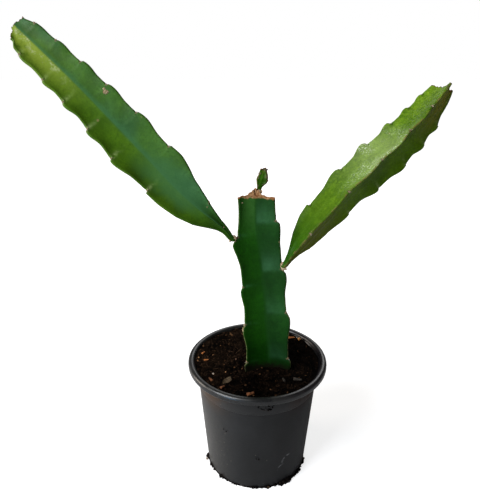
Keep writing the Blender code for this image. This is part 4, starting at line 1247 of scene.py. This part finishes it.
def face_spot(stem, distance, wing_number, share, side):
    """A point on one flank of a wing and the way its skin faces."""
    ring = stem.section(stem.nearest(distance))
    flanks, turns = len(FLANK_SHARES), len(MARGIN_TURNS)
    place = min(range(flanks), key=lambda i: abs(FLANK_SHARES[i] - share))
    start = wing_number * (2 * flanks + turns + 1)
    index = start + (place if side < 0 else flanks + turns + flanks - 1 - place)
    here, before, after = (ring[i % len(ring)][0] for i in (index, index - 1, index + 1))
    _, _, front, across = stem.axes(stem.nearest(distance))
    return here, (after - before).cross(front.cross(across)).normalized()


scabs = []
for number, (stem, distance, wing_number, share, side, size) in enumerate(SCARS):
    spot, normal = face_spot(stem, distance, wing_number, share, side)
    scabs.append(lump(f"scab_{number}", spot, size, old_cork, 50 + number, rough=0.35, detail=3, axis=normal))
for number, distance in enumerate(RUBBED):
    spot, outward = main.edge_point(0, distance)
    scabs.append(lump(f"edge_scab_{number}", spot - outward * 0.0002, RUB_SIZE, old_cork, 70 + number,
                      rough=0.35, detail=3, axis=outward))
hand_over(joined_pieces("healed_scabs", scabs), "dry_leaf_tan")


# ------------------------------------------------------------------ new shoot
# A shoot about as long as a fingernail pushes out of the back wing beside the cut. It is
# bright green with brown dried tips and bracts, in a torn tan sheath at its foot.
SHOOT_BASE = Vector((-0.0002, 0.0115, 0.2714))
SHOOT_ROUTE = (
    (0, 0, 0), (0.0010, 0.0004, 0.0046), (0.0032, 0.0010, 0.0108), (0.0034, 0.0012, 0.0170),
)
SHOOT_REACH = ((0, 0.0018), (0.0035, 0.0026), (0.0080, 0.0054), (0.0115, 0.0050), (0.0175, 0.0027))
SHOOT_CORE = ((0, 0.0015), (0.005, 0.0021), (0.010, 0.0031), (0.0175, 0.0020))
SHOOT_SCALES = (
    # wing, distance from the foot, length, width
    (0, 0.0095, 0.0015, 0.0012), (0, 0.0150, 0.0016, 0.0012), (1, 0.0095, 0.0020, 0.0018),
    (1, 0.0140, 0.0020, 0.0018), (2, 0.0090, 0.0016, 0.0014), (2, 0.0145, 0.0016, 0.0012),
)
SHOOT_TIPS = (
    # right, back, lean to the right
    (-0.0020, -0.0006, -0.4), (0.0006, 0.0004, 0.1), (0.0026, -0.0010, 0.5),
)
SHOOT_SHEATH = (
    # right, back, lean to the right, length
    (-0.0020, -0.0012, -0.55, 0.0050), (0.0016, -0.0012, 0.55, 0.0036),
    (-0.0036, -0.0010, -0.6, 0.0026), (0.0002, -0.0022, 0.1, 0.0034),
)
SHOOT_END_HIGH, SHOOT_END_WAVE = 0.0010, 0.0004
SHEATH_BELOW = 0.0022
SHEATH_WIDTH = 0.0026
TIP_LENGTH, TIP_WIDTH = 0.0018, 0.0015


def shoot_tip(share, angle):
    return SHOOT_END_HIGH * (1 - share) ** 2 + SHOOT_END_WAVE * math.sin(3 * angle + 1) * share


shoot_skin = waxy_skin("shoot_skin", cool=(0.026, 0.092, 0.0030), warm=(0.012, 0.052, 0.0010), shine=0.02,
                       tip=(0.085, 0.120, 0.012), margin=(0.110, 0.055, 0.020), tip_from=0.7,
                       margin_share=0.9, gloss=0.42, scab=(0.120, 0.055, 0.022))
shoot = Stem(
    [SHOOT_BASE + Vector(step) for step in SHOOT_ROUTE],
    tuple(Wing(angle, SHOOT_REACH, spaced(start, (0.0055, 0.0050, 0.0060)), 0.0014, 0.75, 0.7,
               lit_shares=(0.2, 0.8)) for angle, start in ((-70, 0.004), (50, 0.006), (170, 0.005))),
    SHOOT_CORE, step=0.0003, lobes=(0.0012, 0.0018, 0.0014), ragged=0.0012,
)
hand_over(shoot.build("new_shoot_body", shoot_skin, shoot_tip), "shoot_green", "new_shoot")


def bract(name, foot, direction, length, width, finish, seed):
    """A small dried scale: a curled pointed blade, thick at its foot."""
    dice = random.Random(seed)
    turn = UP.rotation_difference(direction.normalized()).to_matrix()
    spin = Matrix.Rotation(dice.uniform(0, math.tau), 3, "Z")
    rows, sides = 10, 10
    verts = []
    for row in range(rows + 1):
        share = row / rows
        half = width * (math.sin(math.pi * (0.18 + 0.80 * share)) ** 0.8) / 2
        bow = 0.30 * length * share ** 2
        for step in range(sides):
            angle = math.tau * step / sides
            x, y = half * math.cos(angle), 0.28 * half * math.sin(angle)
            y += 0.35 * half * math.cos(angle) ** 2
            ragged = 1 + 0.12 * noise.noise(Vector((4 * share, angle, seed)))
            verts.append(foot + turn @ spin @ Vector((x * ragged, y + bow, share * length)))
    faces = joined_rings(rows + 1, sides)
    faces += [tuple(range(sides))[::-1], tuple(range(rows * sides, (rows + 1) * sides))]
    return add_mesh(name, verts, faces, finish, 60)


DRY = {"scale": (900, 900, 260), "detail": 4, "relief": (0.5, 0.0002), "Roughness": 0.8,
       "Specular_IOR_Level": 0.2}
dried_scale = grained("dried_scale", (0.035, 0.016, 0.009), (0.20, 0.11, 0.055), **DRY).done()
husk = grained("torn_husk", (0.30, 0.180, 0.105), (0.64, 0.52, 0.38), **DRY).done()
scales = []
for number, (wing_number, distance, length, width) in enumerate(SHOOT_SCALES):
    spot, outward = shoot.edge_point(wing_number, distance)
    scales.append(bract(f"scale_{number}", spot - outward * 0.0005, outward + UP * 0.9, length, width,
                        dried_scale, number))
shoot_end = shoot.stations[-1][1]
for number, (right_by, back_by, lean) in enumerate(SHOOT_TIPS):
    scales.append(bract(f"tip_{number}", shoot_end + Vector((right_by, back_by, 0)),
                        Vector((0.25 + lean, 0, 1)), TIP_LENGTH, TIP_WIDTH, dried_scale, 20 + number))
hand_over(joined_pieces("shoot_scales", scales), "dry_leaf_tan")
husks = []
for number, (right_by, back_by, lean, length) in enumerate(SHOOT_SHEATH):
    husks.append(bract(f"sheath_{number}", SHOOT_BASE + Vector((right_by, back_by, -SHEATH_BELOW)),
                       Vector((lean, -0.25, 1.0)), length, SHEATH_WIDTH, husk, 40 + number))
hand_over(joined_pieces("shoot_sheath", husks), "dry_leaf_tan")


# ------------------------------------------------------------------ bits on the soil
# Chips of composted pine bark, mineral grains, one coated feed prill and a curled scrap
# of dead leaf, dropped on the mix and half settled in.
CHIPS = (
    # length, width, height, turn in degrees, share of orange
    (0.0040, 0.0016, 0.0013, 55, 0.8), (0.0042, 0.0015, 0.0013, 8, 0.8), (0.0046, 0.0026, 0.0018, 40, 0.5),
    (0.0062, 0.0036, 0.0022, 24, 0.3), (0.0072, 0.0024, 0.0018, 6, 1.0), (0.0050, 0.0020, 0.0016, 125, 0.2),
    (0.0070, 0.0034, 0.0018, -12, 0.0), (0.0052, 0.0024, 0.0016, 100, 0.0),
)


def chip(name, centre, size, turn, finish, seed):
    """A split flake: a bevelled block torn along its grain."""
    shape = bmesh.new()
    bmesh.ops.create_cube(shape, size=1.0)
    bmesh.ops.subdivide_edges(shape, edges=shape.edges[:], cuts=7, use_grid_fill=True)
    spin = Matrix.Rotation(math.radians(turn), 3, "Z")

    def split(spot):
        long, wide, high = spot
        rounded = 1 - 0.30 * (2 * abs(wide)) ** 4 * (2 * abs(high)) ** 4
        torn = 1 + 0.22 * noise.noise(Vector((5 * wide, 5 * high, seed)))
        taper = 1 - 0.38 * (long + 0.5) - 0.16 * (2 * abs(long)) ** 6
        lift = 0.20 * noise.noise(Vector((3 * long, 2 * wide, seed + 5)))
        local = Vector((long * torn * size[0], wide * taper * rounded * size[1],
                        (high * rounded * taper + lift) * size[2]))
        return centre + spin @ local

    return reshaped(name, shape, split, finish, 40)


def middle_of(node):
    """The middle of a node's box, and half its size."""
    low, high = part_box(node)
    return (low + high) / 2, (high - low) / 2


SETTLED = Vector((0, 0, 0.0005))         # how far a chip has sunk in
BARK = {"scale": (500, 900, 2200), "detail": 4, "roughness": 0.65, "spread": (0.36, 0.62),
        "relief": (0.7, 0.0004), "Roughness": 0.85, "Specular_IOR_Level": 0.25}
orange_bark = grained("orange_bark", (0.20, 0.058, 0.015), (0.56, 0.20, 0.055), **BARK).done()
brown_bark = grained("brown_bark", (0.034, 0.014, 0.006), (0.185, 0.066, 0.022), **BARK).done()
grey_wood = grained("weathered_wood", (0.009, 0.007, 0.005), (0.030, 0.023, 0.017), **BARK).done()
for number, (length, width, height, turn, orange) in enumerate(CHIPS, 1):
    finish = orange_bark if orange > 0.6 else brown_bark if orange > 0.1 else grey_wood
    middle, _ = middle_of(f"bark_chip_{number}")
    flake = chip(f"bark_flake_{number}", middle - SETTLED, (length, width, height), turn, finish, number)
    hand_over(flake, "bark_wood", f"bark_chip_{number}")


GRIT = {"scale": 1300, "relief": (0.5, 0.0002), "Roughness": 0.75, "Specular_IOR_Level": 0.25}
HALF_SUNK = Vector((0, 0, 0.0003))
white_stone = grained("white_stone", (0.22, 0.17, 0.13), (0.52, 0.44, 0.36), **GRIT).done()
tan_stone = grained("tan_stone", (0.16, 0.070, 0.026), (0.40, 0.21, 0.090), **GRIT).done()
brown_stone = grained("brown_stone", (0.060, 0.030, 0.018), (0.19, 0.10, 0.060), **GRIT).done()
feed_coating = grained("feed_coating", (0.52, 0.20, 0.045), (0.88, 0.42, 0.110), 700, 3, 0.6,
                       relief=(0.15, 0.0002), Roughness=0.42, Coat_Weight=0.3).done()
dead_leaf = grained("dead_leaf", (0.020, 0.012, 0.006), (0.105, 0.070, 0.035), (500, 1500, 700), 4,
                    spread=(0.34, 0.66), relief=(0.4, 0.0003), Roughness=0.8, Specular_IOR_Level=0.3).done()
for number, finish in enumerate((white_stone, tan_stone, brown_stone, tan_stone, white_stone), 1):
    middle, half = middle_of(f"pale_grain_{number}")
    grit = lump(f"grit_{number}", middle - HALF_SUNK, half, finish, number + 30, rough=0.30, grain=1.2)
    hand_over(grit, "pale_grit", f"pale_grain_{number}")
middle, half = middle_of("slow_feed_prill")
prill = lump("feed_bead", middle - HALF_SUNK, half, feed_coating, 61, rough=0.06)
hand_over(prill, "feed_prill", "slow_feed_prill")


LEAF_LENGTH, LEAF_WIDTH, LEAF_TURN = 0.0085, 0.0062, 28
LEAF_THICKNESS = 0.00022
LEAF_CUPPED, LEAF_CURLED = 0.0022, 0.0016        # how far its sides and its tip rise
LEAF_CRINKLED, LEAF_VEIN = 0.0004, 0.0003
LEAF_SETTLED = 0.0016


def curled_leaf(name, centre, length, width, turn, finish):
    """A scrap of leaf, cupped along its middle vein, torn at one end and thin all over."""
    rows, columns = 26, 15
    spin = Matrix.Rotation(math.radians(turn), 3, "Z")
    verts = []
    for side in (0, 1):
        for row in range(rows):
            along = row / (rows - 1)
            spread = width * math.sin(math.pi * (0.08 + 0.80 * along)) ** 0.7
            spread *= 1 + 0.10 * noise.noise(Vector((9 * along, 3, 1)))
            for column in range(columns):
                across = column / (columns - 1) - 0.5
                curl = LEAF_CUPPED * (2 * across) ** 2 + LEAF_CURLED * along ** 2
                curl += LEAF_CRINKLED * noise.noise(Vector((8 * along, 8 * across, 2)))
                curl -= LEAF_VEIN * math.exp(-((across / 0.05) ** 2))
                height = curl + side * LEAF_THICKNESS - LEAF_SETTLED
                local = Vector((length * (along - 0.5), spread * across, height))
                verts.append(centre + spin @ local)
    upper = rows * columns
    faces = joined_rings(rows, columns, turned=True, closed=False)
    faces += [tuple(upper + point for point in quad) for quad in joined_rings(rows, columns, closed=False)]
    edge = [*range(columns), *(row * columns + columns - 1 for row in range(1, rows)),
            *range(upper - 2, upper - columns - 1, -1), *(row * columns for row in range(rows - 2, 0, -1))]
    for here, after in zip(edge, edge[1:] + edge[:1]):
        faces.append((here, after, after + upper, here + upper))
    return add_mesh(name, verts, faces, finish, 60)


leaf_middle, _ = middle_of("dry_leaf")
scrap = curled_leaf("leaf_scrap", leaf_middle, LEAF_LENGTH, LEAF_WIDTH, LEAF_TURN, dead_leaf)
hand_over(scrap, "dry_leaf_tan", "dry_leaf")


# ------------------------------------------------------------------ washed-out soil
# Wet mix ran out of the drain holes and dried in a ragged dark crust along the front of
# the pot's foot, with loose crumbs on it and single lumps behind. A few specks of it
# splashed on the wall and the lip.
CLODS = 11
CRUST_FROM, CRUST_TO = -178.0, -2.0
CRUST_STEPS = 420
CRUST_HEAPS = (                  # bearing, how much of the mix dried there
    (-178, 0.7), (-170, 1.3), (-159, 2.2), (-149, 0.9), (-138, 0.5), (-120, 0.7), (-100, 1.1), (-90, 1.7),
    (-78, 1.2), (-62, 1.4), (-48, 0.6), (-2, 0.5),
)
CRUST_SKIN = 0.0005              # how far the crust's back sits in the wall's face
CRUST_OUT = (0.0005, 0.0016, 0.0014)     # evenly, by its raggedness, and more at a clod
CRUST_TALL = (0.0014, 0.0026, 0.0022)
HUSK_PLACE = Vector((-0.0492, -0.0158, 0.0042))
HUSK_SIZE = (0.0013, 0.0010, 0.0014)
clod_finish = potting_mix("washed_mix", dark=(0.0060, 0.0054, 0.0050), brown=(0.0240, 0.0190, 0.0160),
                          tan=(0.16, 0.100, 0.058))
clods = []
for number in range(1, CLODS + 1):
    middle, half = middle_of(f"soil_clod_{number}")
    clods.append((f"soil_clod_{number}", math.degrees(math.atan2(middle.y, middle.x)), middle, half))
front_clods = [clod for clod in clods if CRUST_FROM <= clod[1] <= CRUST_TO]


def crust_size(bearing):
    """How far out and how high the crust reaches at a bearing."""
    ends = smoothstep((bearing - CRUST_FROM) / 9) * smoothstep((CRUST_TO - bearing) / 16)
    ends *= 0.25 + 0.75 * smoothstep(0.62 + 1.8 * noise.noise(Vector((0.085 * bearing, 4.4, 0))))
    heaped = between(CRUST_HEAPS, bearing)
    out = CRUST_OUT[0] + CRUST_OUT[1] * noise.fractal(Vector((0.23 * bearing, 1.7, 0)), 0.6, 2.0, 4)
    tall = CRUST_TALL[0] + CRUST_TALL[1] * noise.fractal(Vector((0.17 * bearing, 8.2, 0)), 0.6, 2.0, 4)
    for _, place, middle, half in front_clods:
        near = math.exp(-((math.radians(bearing - place) * BASE_RADIUS / (1.1 * half.length)) ** 2))
        out += CRUST_OUT[2] * near
        tall += CRUST_TALL[2] * near
    return max(0.0003, out * heaped) * ends + 0.0001, max(0.0004, tall * (0.4 + 0.6 * heaped)) * ends + 0.0002


def foot_crust():
    """The crust: a ragged bank lying against the wall, closed at both ends."""
    profile = (
        # shares of its reach and of its height, up its face
        (1.00, 0.00), (1.06, 0.16), (0.96, 0.34), (0.80, 0.52), (0.56, 0.70), (0.34, 0.86), (0.10, 1.0),
    )
    verts, marks, tones = [], [], []
    for step in range(CRUST_STEPS + 1):
        bearing = CRUST_FROM + (CRUST_TO - CRUST_FROM) * step / CRUST_STEPS
        out, tall = crust_size(bearing)
        angle = math.radians(bearing)
        radial = Vector((math.cos(angle), math.sin(angle), 0))
        for number, (away, rise) in enumerate(((0.0, 0.0), *profile, (0.0, 1.0))):
            height = rise * tall
            reach = wall_radius(height) + away * out - (CRUST_SKIN if number in (0, len(profile) + 1) else 0)
            spot = radial * reach + Vector((0, 0, height))
            if 0 < number <= len(profile):
                rough = noise.fractal(spot * 700, 0.7, 2.0, 3)
                spot += radial * 0.0007 * rough * min(1.0, out / 0.001)
                spot.z = max(0.0, spot.z + 0.0004 * rough * rise)
            verts.append(spot)
            marks.append(1.0 if 0 < number <= len(profile) and out > 0.0006 else 0.0)
            tones.append(0.5 + 0.5 * noise.noise(spot * 300))
    ring = len(profile) + 2
    faces = joined_rings(CRUST_STEPS + 1, ring, turned=True)
    faces += [tuple(range(ring))[::-1], tuple(range(CRUST_STEPS * ring, (CRUST_STEPS + 1) * ring))]
    return add_mesh("foot_crust", verts, faces, clod_finish, 60, open=marks, tone=tones)


crust = foot_crust()
loose = strewn("foot_crumbs", crust.data.copy(), clod_finish, 1300000, 0.0004, 0.0032, *CRUMB_SHAPE,
               0.0009, 0.0002, 2, 21)
hand_over(crust, "potting_mix", *(clod[0] for clod in front_clods))
hand_over(loose, "potting_mix")
strays = []
for number, clod in enumerate(clods):
    if clod not in front_clods:
        node, _, middle, half = clod
        strays.append(lump("stray_" + node, middle, half * 1.06, clod_finish, number, rough=0.75, detail=5,
                           grain=1.8))
        hand_over(strays[-1], "potting_mix", node)
for bit in (loose, *strays):
    for vert in bit.data.vertices:
        vert.co.z = max(vert.co.z, 0.0)
pale_bit = lump("crust_husk", HUSK_PLACE, HUSK_SIZE, white_stone, 77)
hand_over(pale_bit, "pale_grit")


def patch_guide(name, bearing, spread, low, high, offset):
    """A small patch of the pot's wall or lip that caught some splashes."""
    verts, marks = [], []
    rows, columns = 5, 13
    for row in range(rows):
        height = low + (high - low) * row / (rows - 1)
        for column in range(columns):
            share = 2 * column / (columns - 1) - 1
            angle = math.radians(bearing + spread * share)
            verts.append(around(offset(height), angle, height))
            marks.append(max(0.0, 1 - share * share))
    guide = bpy.data.meshes.new(name)
    guide.from_pydata(verts, [], joined_rings(rows, columns, closed=False))
    guide.attributes.new("open", "FLOAT", "POINT").data.foreach_set("value", marks)
    return guide


def clear_wall(height):
    return wall_radius(height) + 0.0006


def lip_crest(height):
    return (RIM_RADIUS + LIP_THROAT) / 2 - (POT_HEIGHT - height)


SPLASHES = (
    # name, bearing and spread in degrees, lowest, highest, how far out, density, largest speck
    ("wall_specks", -84, 9, 0.0955, 0.1015, clear_wall, 700000, 0.0021),
    ("wall_fleck_front", -90, 3, 0.0375, 0.0400, clear_wall, 500000, 0.0016),
    ("wall_fleck_left", -123, 4, 0.0640, 0.0680, clear_wall, 240000, 0.0014),
    ("lip_crumbs_left", 124, 22, 0.1122, 0.1128, lip_crest, 160000, 0.0016),
    ("lip_crumbs_right", 48, 20, 0.1122, 0.1128, lip_crest, 60000, 0.0013),
)
splash_finish = potting_mix("splashed_mix", dark=(0.0010, 0.0008, 0.0006), brown=(0.0060, 0.0042, 0.0030),
                            tan=(0.050, 0.030, 0.018))
for label, bearing, spread, low, high, offset, density, largest in SPLASHES:
    patch = patch_guide(label + "_guide", bearing, spread, low, high, offset)
    specks = strewn(label, patch, splash_finish, density, 0.0003, largest, (0.7, 0.6, 0.4), (1.3, 1.2, 0.8),
                    0.0005, 0.0, 2, 31)
    hand_over(specks, "potting_mix")


# ------------------------------------------------------------------ light and view
# A plain pale floor under soft daylight from the left. The camera is held nearly as
# high as the plant's top and looks down a little.
LIGHTS = (
    # name, place, width, watts, colour
    ("window_light", (-1.00, -0.75, 1.00), 0.90, 30.5, (0.95, 0.97, 1.0)),
    ("room_fill", (0.90, -1.00, 0.60), 1.20, 1.0, (1.0, 0.97, 0.93)),
    ("side_glow", (-1.30, 0.15, 0.40), 0.60, 10.5, (1.0, 0.89, 0.77)),
    ("low_sky", (-0.70, -0.85, 0.10), 0.26, 2.6, (0.30, 0.62, 1.0)),
    ("back_light", (0.30, 1.10, 1.20), 1.00, 9.0, (1.0, 1.0, 1.0)),
)
floor_mesh = bpy.data.meshes.new("floor")
floor_mesh.from_pydata([(-8, -8, 0), (8, -8, 0), (8, 8, 0), (-8, 8, 0)], [], [(0, 1, 2, 3)])
floor = set_down("floor", floor_mesh)
paper = Finish("pale_paper", Roughness=0.9, Emission_Color=(1.0, 1.0, 1.0))
paper.colour = (0.60, 0.60, 0.60)
away = paper.node("ShaderNodeVectorMath", {"operation": "LENGTH"}, Vector=paper.place).outputs["Value"]
glow = paper.made("ShaderNodeMapRange", Value=away, From_Min=0.15, From_Max=0.90, To_Min=0.66, To_Max=1.0)
seen = paper.made("ShaderNodeLightPath")
floor_mesh.materials.append(paper.done(Emission_Strength=paper.times(seen, glow)))

world = bpy.data.worlds.new("pale_room")
bpy.context.scene.world = world
world.use_nodes = True
room = Nodes(world.node_tree)
air = room.tree.nodes["Background"]
room.plug((1.0, 1.0, 1.0), air.inputs["Color"])
straight = room.made("ShaderNodeLightPath")
room.plug(room.made("ShaderNodeMapRange", Value=straight, To_Min=0.10, To_Max=1.0), air.inputs["Strength"])

LIT_POINT = Vector((0.0, 0.0, 0.18))
EYE = (-0.01636, -0.40449, 0.37925)
LOOKS_DOWN = 21.35
for label, spot, size, power, tint in LIGHTS:
    lamp = bpy.data.lights.new(label, "AREA")
    lamp.size, lamp.energy, lamp.color = size, power, tint
    holder = set_down(label, lamp)
    holder.location = spot
    holder.rotation_euler = (LIT_POINT - Vector(spot)).to_track_quat("-Z", "Y").to_euler()

lens = bpy.data.cameras.new("camera")
lens.lens, lens.sensor_width, lens.clip_start = 36.0, 36.0, 0.01
camera = set_down("camera", lens)
camera.location = EYE
camera.rotation_euler = (math.radians(90 - LOOKS_DOWN), 0.0, 0.0)
bpy.context.scene.camera = camera
bpy.context.scene.view_settings.view_transform = "Standard"
